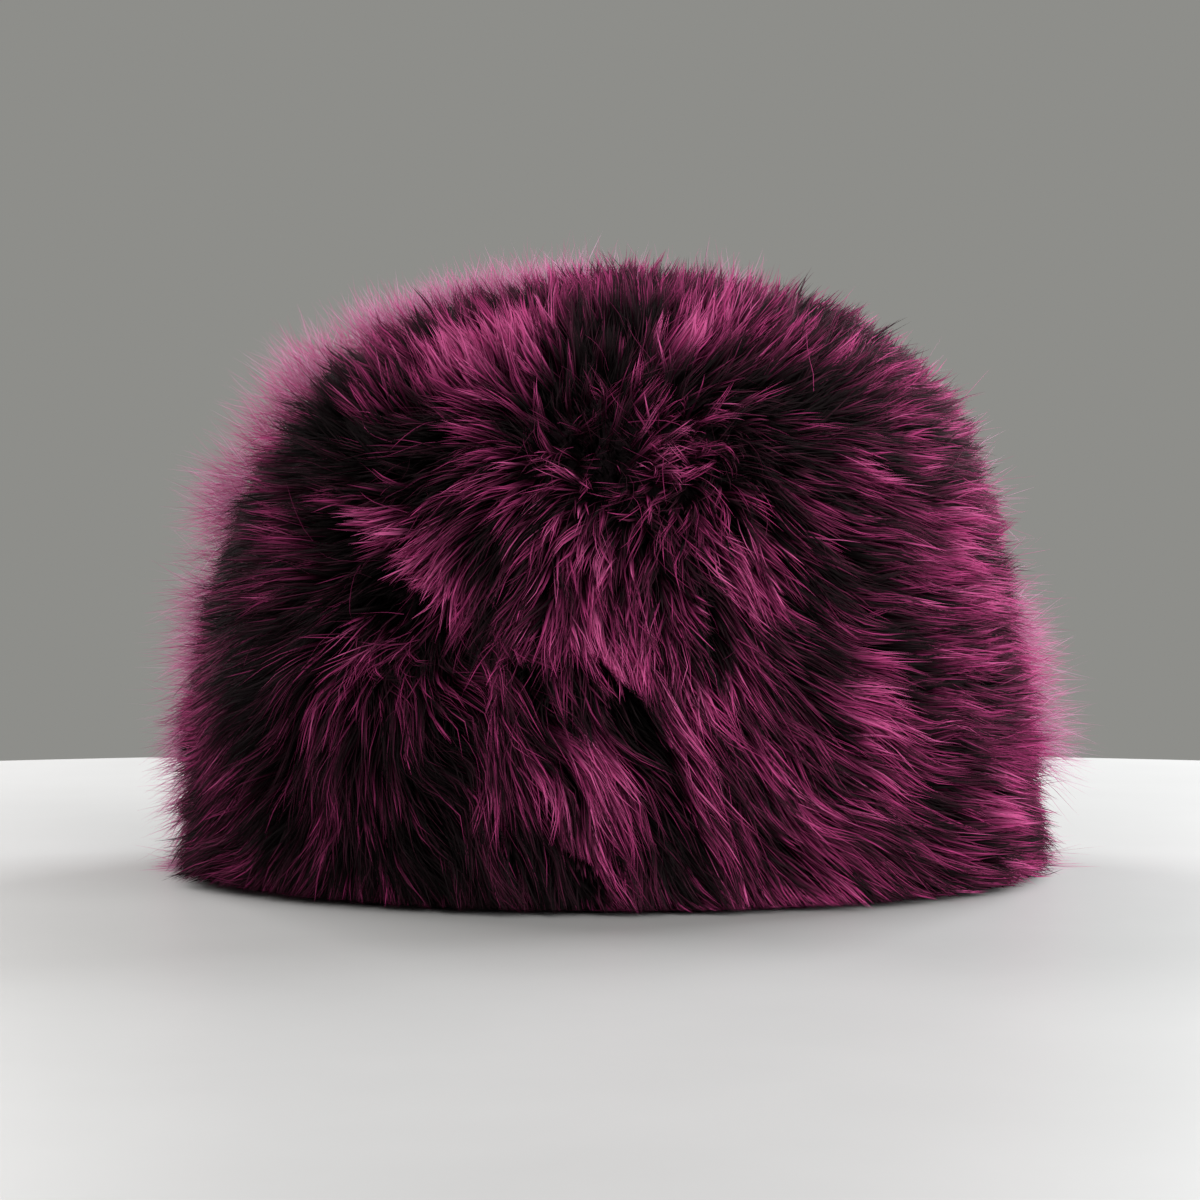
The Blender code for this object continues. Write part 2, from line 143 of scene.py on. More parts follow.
# Where the dye took, with painted light and shade in a few patches: amount is -1 for black to 1 for bright
# pink, over a patch of that radius in pixels of the frame.
dyeAndLightPatches = [  # x, y, radius, amount
    (480, 312, 34, 1.5), (440, 335, 26, 1.2), (535, 290, 30, 1.0), (750, 298, 42, 1.1), (700, 310, 25, 0.6),
    (425, 375, 28, 0.6), (330, 395, 14, 0.7), (455, 400, 20, 0.7), (470, 440, 14, 0.6), (562, 384, 10, 1.3),
    (608, 380, 10, 1.3), (676, 425, 14, 0.9), (735, 425, 8, 0.6), (713, 378, 8, 0.8), (690, 387, 6, 0.7),
    (710, 406, 6, 0.8), (601, 432, 7, 0.9), (545, 455, 11, 0.8), (566, 482, 13, 0.6), (585, 452, 16, -0.6),
    (640, 390, 12, -1.0), (660, 358, 14, -0.7), (545, 366, 10, -0.7), (720, 450, 8, -0.4),
    (622, 668, 12, 0.6), (590, 755, 12, 0.7), (660, 764, 12, 0.6), (700, 706, 14, 0.5), (585, 640, 10, 0.5),
    (245, 600, 22, 0.5), (322, 593, 14, 0.5), (270, 645, 14, 0.4), (352, 663, 10, 0.5), (372, 617, 9, 0.7),
    (414, 682, 12, 0.5), (192, 668, 14, 0.5), (216, 680, 18, -0.5), (370, 580, 20, -0.5),
    (575, 475, 22, 0.6), (560, 520, 26, 0.5), (580, 555, 26, 0.6), (295, 487, 30, 0.3), (250, 500, 20, 0.3),
    (350, 510, 18, 0.8), (395, 545, 20, 0.9), (425, 575, 18, 0.9), (448, 605, 16, 0.7), (540, 570, 24, 0.5),
    (620, 648, 26, 0.8), (890, 465, 22, 0.8), (930, 420, 26, 0.7), (985, 560, 34, 0.7), (960, 600, 30, 0.4),
    (1000, 700, 40, 0.5), (1010, 800, 30, 0.4), (545, 815, 26, 0.7), (610, 785, 16, 0.6),
    (640, 700, 22, 0.5), (880, 700, 30, 0.6), (900, 740, 40, 0.4), (280, 580, 30, 0.4), (330, 690, 26, 0.3),
    (250, 800, 30, 0.4), (215, 860, 20, 0.3), (400, 640, 20, 0.4), (460, 730, 30, 0.3),
    (780, 720, 40, 0.35), (760, 560, 40, 0.2), (690, 660, 30, 0.3), (860, 520, 34, 0.3),
    (840, 830, 40, 0.2), (500, 760, 24, 0.2), (660, 540, 34, 0.3), (615, 320, 36, -0.9),
    (600, 350, 22, -0.7), (700, 350, 26, -0.6), (350, 435, 46, -1.0), (410, 420, 34, -0.8),
    (240, 510, 24, -0.5), (205, 555, 22, -0.7), (380, 600, 36, -0.5), (330, 620, 24, -0.4),
    (605, 450, 24, -1.0), (540, 380, 20, -0.8), (510, 420, 22, -0.6), (790, 380, 22, -0.8),
    (830, 350, 22, -0.5), (960, 470, 26, -0.8), (710, 640, 20, -0.9), (700, 580, 22, -0.4),
    (640, 700, 14, -0.9), (655, 725, 14, -1.0), (520, 680, 26, -0.7), (480, 640, 22, -0.5),
    # The dark patches along the foot, at y 850 and below, are dark dye and painted shade together
    (230, 700, 26, -0.8), (200, 600, 24, -0.6), (440, 850, 30, -0.8), (375, 870, 36, -0.8),
    (560, 892, 40, -0.9), (470, 900, 40, -0.8), (680, 905, 40, -0.6), (780, 865, 36, -0.8),
    (260, 870, 34, -0.6), (1040, 820, 16, -0.8), (850, 640, 24, -0.4), (410, 790, 24, -0.6),
    (350, 760, 24, -0.4), (880, 560, 26, -0.4), (300, 350, 20, -0.5), (330, 340, 24, -0.7),
    (620, 600, 20, -0.3), (740, 800, 22, -0.4), (900, 890, 30, -0.3), (590, 700, 22, -0.4),
    # The bright patches at the right edge, x past 1000, are dye and painted window light together
    (530, 590, 20, -0.4), (1030, 600, 50, 0.5), (1045, 690, 50, 0.5), (1045, 780, 46, 0.4),
    (1005, 500, 40, 0.3), (870, 400, 60, -0.35), (850, 600, 60, -0.15), (640, 600, 60, 0.4),
    (590, 560, 50, 0.3), (520, 760, 60, 0.3), (400, 600, 40, 0.45), (600, 870, 70, 0.3),
    (700, 840, 60, 0.3), (480, 870, 50, 0.25), (300, 450, 60, -0.7), (640, 400, 50, 0.35),
    (640, 540, 70, 0.25), (880, 430, 50, -0.3), (470, 340, 30, 0.7), (405, 360, 24, 0.5),
    (620, 880, 80, 0.3), (740, 345, 28, -0.7), (805, 372, 24, -0.5), (380, 640, 50, 0.35),
    (200, 690, 40, 0.3), (620, 690, 26, 0.4), (680, 700, 26, 0.4), (430, 360, 40, 0.4),
    # The broad dark patches low on the left, here and at the end, are dark dye and painted shade together
    (250, 650, 60, -0.3), (255, 780, 60, -0.3), (330, 800, 50, -0.2), (332, 362, 20, -0.9),
    (365, 420, 22, -0.6), (440, 450, 18, -0.6), (485, 427, 14, -0.6), (530, 385, 24, -0.6),
    (340, 486, 15, -0.6), (446, 350, 16, 0.9), (505, 315, 28, 0.8), (532, 443, 14, 0.8),
    (360, 388, 12, 0.7), (915, 447, 14, -0.7), (785, 413, 18, -0.7), (860, 500, 16, -0.5),
    (800, 507, 16, -0.5), (775, 385, 10, 0.8), (885, 450, 12, 0.6), (966, 590, 18, 0.6),
    (990, 524, 16, 0.6), (930, 663, 22, -0.8), (859, 627, 12, 0.7), (935, 720, 14, 0.6),
    (790, 708, 14, -0.5), (828, 578, 16, -0.4), (205, 685, 20, -0.5), (185, 858, 20, -0.6),
    (300, 400, 36, -0.5), (245, 450, 30, -0.5), (470, 830, 40, -0.3), (430, 780, 30, -0.2),
    (320, 470, 60, -0.25), (250, 610, 60, -0.3), (515, 745, 56, -0.35), (930, 620, 130, -0.18),
    (225, 760, 60, -0.25), (235, 560, 40, -0.3),
]

# How hairs wave as they follow the comb. Lengths in metres, turns in radians
combing = {
    "reach": 0.006,  # how far a row of the tables rules alone
    "waves": (0.012, 3),  # size and seed
    "wave": 0.22,
    "leftWave": 0.20,  # more of it low down on the left pelt
    "leftWaveBelow": (0.085, 0.060),
    "messWave": 1.2,  # more of it where the ways cross
    "straightAt": 0.4,  # the share of its length at which a bent hair lies as the comb does
}

chance = np.random.default_rng(11)


def unit(v):
    return v / np.maximum(np.linalg.norm(v, axis=-1, keepdims=True), 1e-12)


def smooth(low, high, x):
    t = np.clip((x - low) / (high - low), 0, 1)
    return t * t * (3 - 2 * t)


def fade(p, axis, edges):
    # Along this axis from 0 at the first edge to 1 at the second
    return smooth(*edges, p[..., "xyz".index(axis)])


def dotOf(a, b):
    return (a * b).sum(-1, keepdims=True)


def dome(depth):
    # Half width, half depth and height of the hat, this far below its fur tips
    return hatForm["halfWidth"] - depth, hatForm["halfDepth"] - depth, hatForm["height"] - depth


def lean(z, height):
    # How far out the wall stands at this height: it leans in, with a belly low down
    swell = hatForm["belly"] * np.exp(-(((z - hatForm["bellyHeight"]) / hatForm["bellySpread"]) ** 2))
    return 1 - hatForm["taper"] * np.clip(z / height, 0, 1) + swell


def beyond(p, depth):
    # Below 0 inside the dome at this depth, above 0 outside it
    wide, deep, height = dome(depth)
    z = np.maximum(p[..., 2], 0)
    r = ((p[..., 0] / wide) ** 2 + (p[..., 1] / deep) ** 2) / lean(z, height) ** 2
    return r + (z / height) ** hatForm["squareness"] - 1


def outward(p, depth):
    # Unit normals of the dome
    step = 0.0004
    moves = np.eye(3) * step
    rise = [beyond(p + m, depth) - beyond(p - m, depth) for m in moves]
    return unit(np.stack(rise, -1))


def onDome(p, depth):
    # Moves each point along its ray from the heart until it lies on the dome
    heart = hatForm["heart"]
    way = unit(p - heart)
    near = np.zeros(p.shape[:-1])
    far = np.full(p.shape[:-1], 0.25)
    for _ in range(22):
        middle = (near + far) / 2
        inside = beyond(heart + way * middle[..., None], depth) < 0
        near = np.where(inside, middle, near)
        far = np.where(inside, far, middle)
    return heart + way * near[..., None]


def domePoint(azimuth, height, depth):
    # Where the dome is at this azimuth and height, or below the floor where its wall goes on down
    wide, deep, high = dome(depth)
    z = np.clip(np.asarray(height, float), -0.02, high * 0.9999)
    up = np.maximum(z, 0)
    out = lean(up, high) * np.sqrt(np.maximum(1 - (up / high) ** hatForm["squareness"], 0))
    turn = np.radians(azimuth)
    return np.stack((wide * out * np.sin(turn), -deep * out * np.cos(turn), z), -1)


def azimuthOf(p):
    return np.degrees(np.arctan2(p[..., 0], -p[..., 1]))


def fromPhoto(x, y):
    # The fur tips that show at this pixel of the photo, or the nearest ones past the hat's edge
    middle = cameraPlace["pixels"] / 2
    ray = np.stack((np.asarray(x, float) - middle, np.full(np.shape(x), cameraPlace["focalPixels"], float),
                    middle - np.asarray(y, float)), -1)
    ray = ray / ray[..., 1:2]
    far = np.linspace(0.6, 0.82, 221)  # from the camera, in front of the hat to past its axis
    line = photoEye + ray[:, None, :] * far[None, :, None]
    value = beyond(line, 0.0)
    hit = np.where((value < 0).any(1), (value < 0).argmax(1), value.argmin(1))
    found = line[np.arange(len(hit)), hit]
    found[:, 2] = np.maximum(found[:, 2], 0.0005)
    return onDome(found, 0.0)


def rootsAt(x, y):
    # The same place down among the roots
    return onDome(fromPhoto(x, y), pile)


def ripple(p, size, seed, waves=10):
    # Smooth noise between about -1 and 1, with bumps of about this size
    draw = np.random.default_rng(seed)
    way = unit(draw.normal(size=(waves, 3))) * (math.tau / (size * 2)) * draw.uniform(0.6, 1.4, (waves, 1))
    phase = draw.uniform(0, math.tau, waves)
    return np.sin(p @ way.T + phase).sum(-1) / math.sqrt(waves / 2) * 0.6


def tangentOf(ways, normals):
    return unit(ways - normals * dotOf(ways, normals))


def combTable(onPhoto, around):
    # Places among the roots and the ways that the hair lies there
    rows = np.array(onPhoto, float)
    places = rootsAt(rows[:, 0], rows[:, 1])
    normals = outward(places, pile)
    toCamera = np.minimum(normals[:, 1], -0.15)  # the view is along +Y
    depthWay = -(rows[:, 2] * normals[:, 0] - rows[:, 3] * normals[:, 2]) / toCamera
    ways = tangentOf(np.stack((rows[:, 2], np.clip(depthWay, -2.5, 2.5), -rows[:, 3]), -1), normals)
    more = np.array(around, float)
    spots = domePoint(more[:, 0], more[:, 1], pile)
    facing = outward(spots, pile)
    turn = np.radians(more[:, 0])
    eastward = np.stack((np.cos(turn), np.sin(turn), np.zeros(len(turn))), -1)
    upward = unit(np.cross(facing, eastward))
    lies = tangentOf(eastward * more[:, 2:3] + upward * more[:, 3:4], facing)
    return np.concatenate((places, spots)), np.concatenate((ways, lies))


def combAt(p, normals, table):
    # The mean of the ways about each point. It is short where they cross
    places, ways = table
    apart = ((p[:, None, :] - places[None]) ** 2).sum(-1)
    pull = 1 / (apart + combing["reach"] ** 2) ** 2
    mean = (pull / pull.sum(1, keepdims=True)) @ ways
    return mean - normals * dotOf(mean, normals)


def march(roots, left, length, steps, turn, bend):
    # Follows the lie of the hair over the dome from each root. turn and bend are each hair's own, in radians
    path = [roots]
    p = roots
    for k in range(steps):
        normals = outward(p, pile)
        way = np.where(left[:, None], combAt(p, normals, tables["left"]), combAt(p, normals, tables["upper"]))
        mess = 1 - np.clip(np.linalg.norm(way, axis=-1, keepdims=True), 0, 1)
        side = np.cross(normals, way)
        own = turn + bend * ((k + 0.5) / steps - combing["straightAt"])
        wave = combing["wave"] + combing["leftWave"] * left * fade(p, "z", combing["leftWaveBelow"])
        stir = ripple(p, *combing["waves"])[:, None] * (wave[:, None] + combing["messWave"] * mess)
        stir = stir + own[:, None]
        way = unit(way * np.cos(stir) + side * np.sin(stir) + 1e-9)
        p = onDome(p + way * (length / steps)[:, None], pile)
        path.append(p)
    return np.stack(path, 1)


def seamPath():
    rows = np.array(frontSeam)
    heights = np.linspace(rows[0, 1], rows[-1, 1], 160)
    return domePoint(np.interp(heights, rows[:, 1], rows[:, 0]), heights, pile)


def isLeft(p):
    # Whether a point lies on the left pelt's side of both seams
    rows = np.array(frontSeam)
    azimuth = azimuthOf(p)
    edge = np.interp(p[..., 2], rows[:, 1], rows[:, 0])
    return (azimuth < edge) & (azimuth > backSeamAzimuth)


def peltOf(p):
    # The number in pelts of the one that a hair grows from
    return np.where(p[..., 2] > crownRootHeight, 0, np.where(isLeft(p), 1, 2))


sparserFrom = (60, 110)  # azimuths between which the fur thins towards the back


def scatter(count, depth, frontShare=0.0):
    # Even places over the dome's surface, a few more of them in front
    wide, deep, height = dome(depth)
    fine = height * np.sin(np.linspace(0, math.pi / 2, 600))
    line = domePoint(90.0, fine, depth)
    step = np.linalg.norm(np.diff(line, axis=0), axis=1)
    around = (line[1:, 0] + line[:-1, 0]) / 2 + 0.0003
    total = np.concatenate(([0], np.cumsum(step * around)))
    spread = chance.uniform(0, 1, count * 2)
    heights = np.interp(spread * total[-1], total, fine)
    azimuths = chance.uniform(-180, 180, count * 2)
    keep = chance.uniform(0, 1, count * 2) < 1 - frontShare * smooth(*sparserFrom, np.abs(azimuths))
    places = domePoint(azimuths, np.maximum(heights, hatForm["rim"]), depth)[keep]
    return places[:count]


# How long the hair is, of the length in its layer. x, y and radius are pixels of the photo
hairLengths = [  # x, y, radius, share
    (340, 400, 90, 0.66), (395, 445, 50, 0.50), (450, 320, 90, 0.66), (640, 300, 100, 0.66),
    (850, 380, 130, 0.70), (980, 560, 120, 0.78), (900, 700, 150, 0.84), (640, 560, 120, 0.95),
    (640, 800, 140, 0.95), (350, 760, 150, 1.12), (220, 600, 90, 0.80),
]


def lengthAt(p):
    # The mean of the shares about each point, the nearest ones first
    rows = np.array(hairLengths, float)
    spots = rootsAt(rows[:, 0], rows[:, 1])
    apart = ((p[:, None, :] - spots[None]) ** 2).sum(-1)
    pull = np.exp(-apart / (rows[:, 2] * perPixel) ** 2) + 1e-6
    return (pull * rows[:, 3]).sum(1) / pull.sum(1)


dyeSpread = {
    "middle": 0.60,
    "patches": 0.30,
    "patchRange": (-1.2, 1.4),  # their sum is cut to this
    "patchEdge": 1.3,  # a higher value makes a patch wider and softer
    "clouds": ((0.016, 21, 0.24), (0.007, 22, 0.16)),  # size, seed, strength
    "patchesOver": 0.55,  # share of the clouds that the patches take away
    "seen": (95, 70),  # azimuths between which the patches start
}


def dyeAndLightAt(p):
    # How far the dye took at each place, with painted light and shade from a few patches, from 0 for black to
    # 1 for bright pink
    rows = np.array(dyeAndLightPatches, float)
    spots = fromPhoto(rows[:, 0], rows[:, 1])
    apart = ((p[:, None, :] - spots[None]) ** 2).sum(-1)
    amount = np.exp(-apart / (rows[:, 2] * perPixel) ** 2 / dyeSpread["patchEdge"]) * rows[:, 3]
    amount = np.clip(amount.sum(1), *dyeSpread["patchRange"])
    seen = smooth(*dyeSpread["seen"], np.abs(azimuthOf(p)))
    clouds = sum(ripple(p, size, seed) * strength for size, seed, strength in dyeSpread["clouds"])
    clouds = clouds * (1 - dyeSpread["patchesOver"] * seen)
    return dyeSpread["middle"] + dyeSpread["patches"] * amount * seen + clouds


# Shading normals lie between the ribbon's own and the fur's, and turn outwards at its edges
ribbon = {
    "ownNormal": 0.40, "furNormal": 0.60, "roundness": 0.50,
    "dyeAcross": 4.5,  # how much the map changes over a metre of width, for the stripes
}


def strandMesh(name, points, widths, normals, along, dye, roll, twist):
    # Every strand is a ribbon of quads that ends in a point. Points and normals are (strands, rows, 3)
    count, rows, _ = points.shape
    forward = unit(np.gradient(points, axis=1))
    facing = unit(normals - forward * dotOf(normals, forward))
    turn = (roll[:, None] + twist[:, None] * along[None])[..., None]
    facing = facing * np.cos(turn) + np.cross(forward, facing) * np.sin(turn)
    sideways = np.cross(forward, facing)
    half = sideways * widths[..., None] / 2
    left, right = points[:, :-1] - half[:, :-1], points[:, :-1] + half[:, :-1]
    pairs = np.stack((left, right), 2).reshape(count, -1, 3)
    verts = np.concatenate((pairs, points[:, -1:]), 1)
    soft = unit(facing * ribbon["ownNormal"] + normals * ribbon["furNormal"])
    aside = sideways[:, :-1] * ribbon["roundness"]
    shade = np.stack((soft[:, :-1] - aside, soft[:, :-1] + aside), 2)
    shade = unit(np.concatenate((shade.reshape(count, -1, 3), soft[:, -1:]), 1))
    per = 2 * (rows - 1) + 1
    quads = [(2 * i, 2 * i + 1, 2 * i + 3, 2 * i + 2) for i in range(rows - 2)]
    corners = np.array([c for q in quads for c in q] + [2 * rows - 4, 2 * rows - 3, 2 * rows - 2])
    starts = np.array([4 * i for i in range(rows - 1)])
    loops = (np.arange(count)[:, None] * per + corners[None]).ravel()
    loopStarts = (np.arange(count)[:, None] * len(corners) + starts[None]).ravel()
    mesh = bpy.data.meshes.new(name)
    mesh.vertices.add(count * per)
    mesh.vertices.foreach_set("co", verts.astype(np.float32).ravel())
    mesh.loops.add(len(loops))
    mesh.loops.foreach_set("vertex_index", loops.astype(np.int32))
    mesh.polygons.add(len(loopStarts))
    mesh.polygons.foreach_set("loop_start", loopStarts.astype(np.int32))
    mesh.update(calc_edges=True)
    # The map runs from root to tip in u, and v is the strand's dye
    u = np.repeat(along[:-1], 2)
    u = np.concatenate((u, along[-1:]))
    v = np.tile((-1.0, 1.0), rows - 1)
    v = np.concatenate((v, (0.0,)))
    halfMap = np.repeat(widths[:, :-1], 2, 1) * ribbon["dyeAcross"]
    halfMap = np.concatenate((halfMap, np.zeros((count, 1))), 1)
    uvs = np.stack((np.broadcast_to(u, (count, per)), dye[:, None] + v[None] * halfMap), -1)
    uvLayer = mesh.uv_layers.new(name="OFBake")
    uvLayer.data.foreach_set("uv", uvs.reshape(-1, 2)[loops].astype(np.float32).ravel())
    mesh.polygons.foreach_set("use_smooth", np.ones(len(loopStarts), bool))
    mesh.normals_split_custom_set_from_vertices(shade.reshape(-1, 3).astype(np.float32))
    made = bpy.data.objects.new(name, mesh)
    bpy.context.scene.collection.objects.link(made)
    return made


def trianglesOf(thing):
    return sum(len(face.vertices) - 2 for face in thing.data.polygons)


# Where the fur parts and shows its dark depth, its hair painted darker as shade: a line in the frame, and
# half its width at each end, in pixels
partings = [
    {"from": (595, 666), "to": (660, 746), "half": (2, 6)},
    {"from": (612, 714), "to": (620, 736), "half": (5, 9)},
    {"from": (708, 580), "to": (714, 645), "half": (2, 4)},
    {"from": (596, 440), "to": (610, 462), "half": (8, 8)},
    {"from": (536, 368), "to": (546, 388), "half": (5, 5)},
    {"from": (606, 300), "to": (622, 322), "half": (5, 8)},
    {"from": (370, 580), "to": (410, 596), "half": (3, 5)},
    {"from": (564, 876), "to": (588, 896), "half": (3, 6)},
    {"from": (774, 852), "to": (798, 874), "half": (3, 6)},
    {"from": (505, 670), "to": (528, 688), "half": (4, 5)},
    {"from": (784, 374), "to": (798, 382), "half": (5, 5)},
    {"from": (946, 463), "to": (966, 473), "half": (4, 4)},
]
partingSetup = {
    "edge": (1.5, 0.7),  # in half widths, from outside a parting to inside
    "stops": (0.35, 1.06),  # how deep in it a hair ends: past 1 it doesn't
    "least": 0.3,
}


def partingAt(p):
    # 1 in a parting, 0 away from it, for places at the roots' depth
    most = np.zeros(p.shape[:-1])
    for parting in partings:
        ends = np.array((parting["from"], parting["to"]), float)
        start, stop = rootsAt(ends[:, 0], ends[:, 1])
        line = stop - start
        share = np.clip(((p - start) @ line) / (line @ line), 0, 1)
        apart = np.linalg.norm(p - start - share[..., None] * line, axis=-1)
        half = (parting["half"][0] + (parting["half"][1] - parting["half"][0]) * share) * perPixel
        most = np.maximum(most, smooth(*partingSetup["edge"], apart / half))
    return most


def nearestOf(places, centres):
    tree = KDTree(len(centres))
    for i, c in enumerate(centres):
        tree.insert(c, i)
    tree.balance()
    return np.array([tree.find(p)[1] for p in places])


pastEnd = 1.15  # a path is drawn on in a straight line up to this share of its length


def pathAt(paths, share):
    # Points along paths at these shares of their length
    rows = paths.shape[1]
    at = np.clip(share, 0, pastEnd) * (rows - 1)
    low = np.clip(at.astype(int), 0, rows - 2)
    part = (at - low)[..., None]
    pick = np.arange(len(paths))[:, None]
    return paths[pick, low] * (1 - part) + paths[pick, low + 1] * part


# Whorls that hair turns freely and stays short in: a place on the photo, a radius in metres
whorls = [
    {"x": 655, "y": 410, "radius": 0.018, "mess": 0.85, "dark": -0.04},
    {"x": 575, "y": 400, "radius": 0.012, "mess": 0.60, "dark": 0.02},
    {"x": 375, "y": 625, "radius": 0.012, "mess": 0.45, "dark": 0.00},
    {"x": 395, "y": 445, "radius": 0.012, "mess": 0.45, "dark": 0.02},
    {"x": 510, "y": 670, "radius": 0.008, "mess": 0.30, "dark": 0.03},
]


def whorlAt(p, what, wider=1.0):
    # The mess or the dark that the whorls bring to each point
    total = np.zeros(len(p))
    for whorl in whorls:
        (centre,) = rootsAt([whorl["x"]], [whorl["y"]])
        apart = ((p - centre) ** 2).sum(-1) / (whorl["radius"] * wider) ** 2
        total += np.exp(-apart) * whorl[what]
    return total


def facingAt(p):
    # 1 where the fur's surface looks at the photo's camera, 0 on the outline, below 0 past it
    return (outward(p, pile) * unit(photoEye - p)).sum(-1)


# Where the hair is painted pale as backlit glow and the fuzz stands out. Edges are metres along an axis, but
# starts and ends are shares of facing away
halo = {
    "starts": (-0.03, 0.13), "ends": (0.48, 0.10), "shift": 0.02, "ragged": 0.10, "ripple": (0.013, 31),
    "corner": (0.010, 0.003), "cornerShare": 0.5, "rightCorner": 0.6,
    "leftFoot": (0.004, 0.022), "rightFoot": (0.024, 0.036), "rightHead": (0.084, 0.066), "rightLeast": 0.15,
    "top": (0.118, 0.136), "topRightShare": 0.30, "topRight": (0.044, 0.030), "topLeftShare": 0.70,
    "topLeft": (0.000, -0.022),
}


def paintedGlowAt(p):
    # Just past the hat's outline, as the camera sees it, the fur is painted pale as backlit glow and stands
    # out a little further
    past = halo["ragged"] * ripple(p, *halo["ripple"]) - facingAt(p) - halo["shift"]
    past = smooth(*halo["starts"], past) * smooth(*halo["ends"], past)
    corner = halo["cornerShare"] * fade(p, "z", halo["corner"])
    leftShare = np.maximum(fade(p, "z", halo["leftFoot"]), corner)
    head = halo["rightLeast"] + (1 - halo["rightLeast"]) * fade(p, "z", halo["rightHead"])
    rightShare = np.maximum(fade(p, "z", halo["rightFoot"]) * head, halo["rightCorner"] * corner)
    topShare = halo["topRightShare"] * fade(p, "x", halo["topRight"])
    topShare = topShare + halo["topLeftShare"] * fade(p, "x", halo["topLeft"])
    sideShare = np.where(p[..., 0] < 0, leftShare, rightShare)
    return past * (sideShare + (topShare - sideShare) * fade(p, "z", halo["top"]))


# How much lower the darker fur lies about the outline. Depths and edges in metres
dip = {
    "starts": (0.38, 0.14), "ends": (-0.60, -0.30), "leftLeast": 0.0008,
    "leftShoulder": 0.0042, "leftFrom": (0.062, 0.105), "leftOf": (0.005, -0.020),
    "rightSide": 0.0022, "rightFrom": (0.020, 0.035), "rightTo": (0.100, 0.080),
    "crown": 0.0014, "crownFrom": (0.125, 0.140), "crownLeft": (0.000, 0.020), "crownRight": (0.050, 0.030),
    "bulge": 0.0026, "bulgeFrom": (0.100, 0.114), "bulgeTo": (0.147, 0.136),
}


def dipAt(p):
    # Most of all at the left shoulder, while the right one bulges
    facing = facingAt(p)
    near = smooth(*dip["starts"], facing) * smooth(*dip["ends"], facing)
    left = dip["leftShoulder"] * fade(p, "z", dip["leftFrom"]) * fade(p, "x", dip["leftOf"])
    right = dip["rightSide"] * fade(p, "z", dip["rightFrom"]) * fade(p, "z", dip["rightTo"])
    crown = fade(p, "z", dip["crownFrom"]) * fade(p, "x", dip["crownLeft"]) * fade(p, "x", dip["crownRight"])
    bulge = fade(p, "z", dip["bulgeFrom"]) * fade(p, "z", dip["bulgeTo"])
    right = right + dip["crown"] * crown - dip["bulge"] * bulge
    return near * np.where(p[..., 0] < 0, dip["leftLeast"] + left, right)


calm = {
    "sideFrom": (50, 72), "sideTo": (130, 105),  # azimuths
    "topFrom": (-0.085, -0.050), "topTo": (0.040, 0.015), "topAbove": (0.125, 0.145), "topShare": 0.45,
}


def calmAt(p):
    # Where the fur turns away from the photo it lies evenly, with a clean edge
    azimuth = np.abs(azimuthOf(p))
    side = smooth(*calm["sideFrom"], azimuth) * smooth(*calm["sideTo"], azimuth)
    top = fade(p, "y", calm["topFrom"]) * fade(p, "y", calm["topTo"]) * fade(p, "z", calm["topAbove"])
    return np.maximum(side, calm["topShare"] * top)


leastShare = 0.12  # no hair is cut shorter than this at the floor


def floorEnds(points, floor):
    # The share of each hair that stays above the floor
    rows = points.shape[1]
    ends = np.ones(len(points))
    for k in range(rows - 2, -1, -1):
        here, after = points[:, k, 2], points[:, k + 1, 2]
        share = np.clip((here - floor) / np.maximum(here - after, 1e-6), 0, 1)
        ends = np.where(after < floor, (k + share) / (rows - 1), ends)
    return np.maximum(ends, leastShare)


def finely(paths):
    # Shares along the paths, and the points there
    shares = np.linspace(0, 1, 17)
    return shares, pathAt(paths, np.broadcast_to(shares, (len(paths), 17)))


overhangSetup = {
    "below": 0.125,  # only hair below this height ends at the seam
    "lostBetween": (-30, -48),  # azimuths over which the seam is lost in the fur
    "closedBetween": ((-24, -17), (1, -4)),  # azimuths over which the fur closes over it
    "closing": (0.1, 0.8),  # shares of its length that a hair goes on there
    "least": 0.25,
}


def plainAt(azimuth):
    # Along this stretch of the front seam the fur closes over it
    start, stop = overhangSetup["closedBetween"]
    return smooth(*start, azimuth) * smooth(*stop, azimuth)


def seamEnds(paths, left, length, overhang):
    # The upper pelt's hair ends a little way past the front seam
    shares, fine = finely(paths)
    crossed = isLeft(fine) & (fine[..., 1] < 0) & (fine[..., 2] < overhangSetup["below"])
    first = np.where(crossed.any(1), shares[crossed.argmax(1)], 1.0)
    azimuth = azimuthOf(paths[:, 0])
    closing = plainAt(azimuth) * chance.uniform(*overhangSetup["closing"], len(paths))
    further = smooth(*overhangSetup["lostBetween"], azimuth) + closing
    ends = np.where(left, 1.0, first + overhang / length + further)
    return np.clip(ends, overhangSetup["least"], 1.0)


def partingEnds(paths):
    # A hair that comes over a parting ends near its edge, but a few cross it
    shares, fine = finely(paths)
    within = partingAt(fine) > chance.uniform(*partingSetup["stops"], (len(paths), 1))
    return np.where(within.any(1), np.maximum(shares[within.argmax(1)], partingSetup["least"]), 1.0)
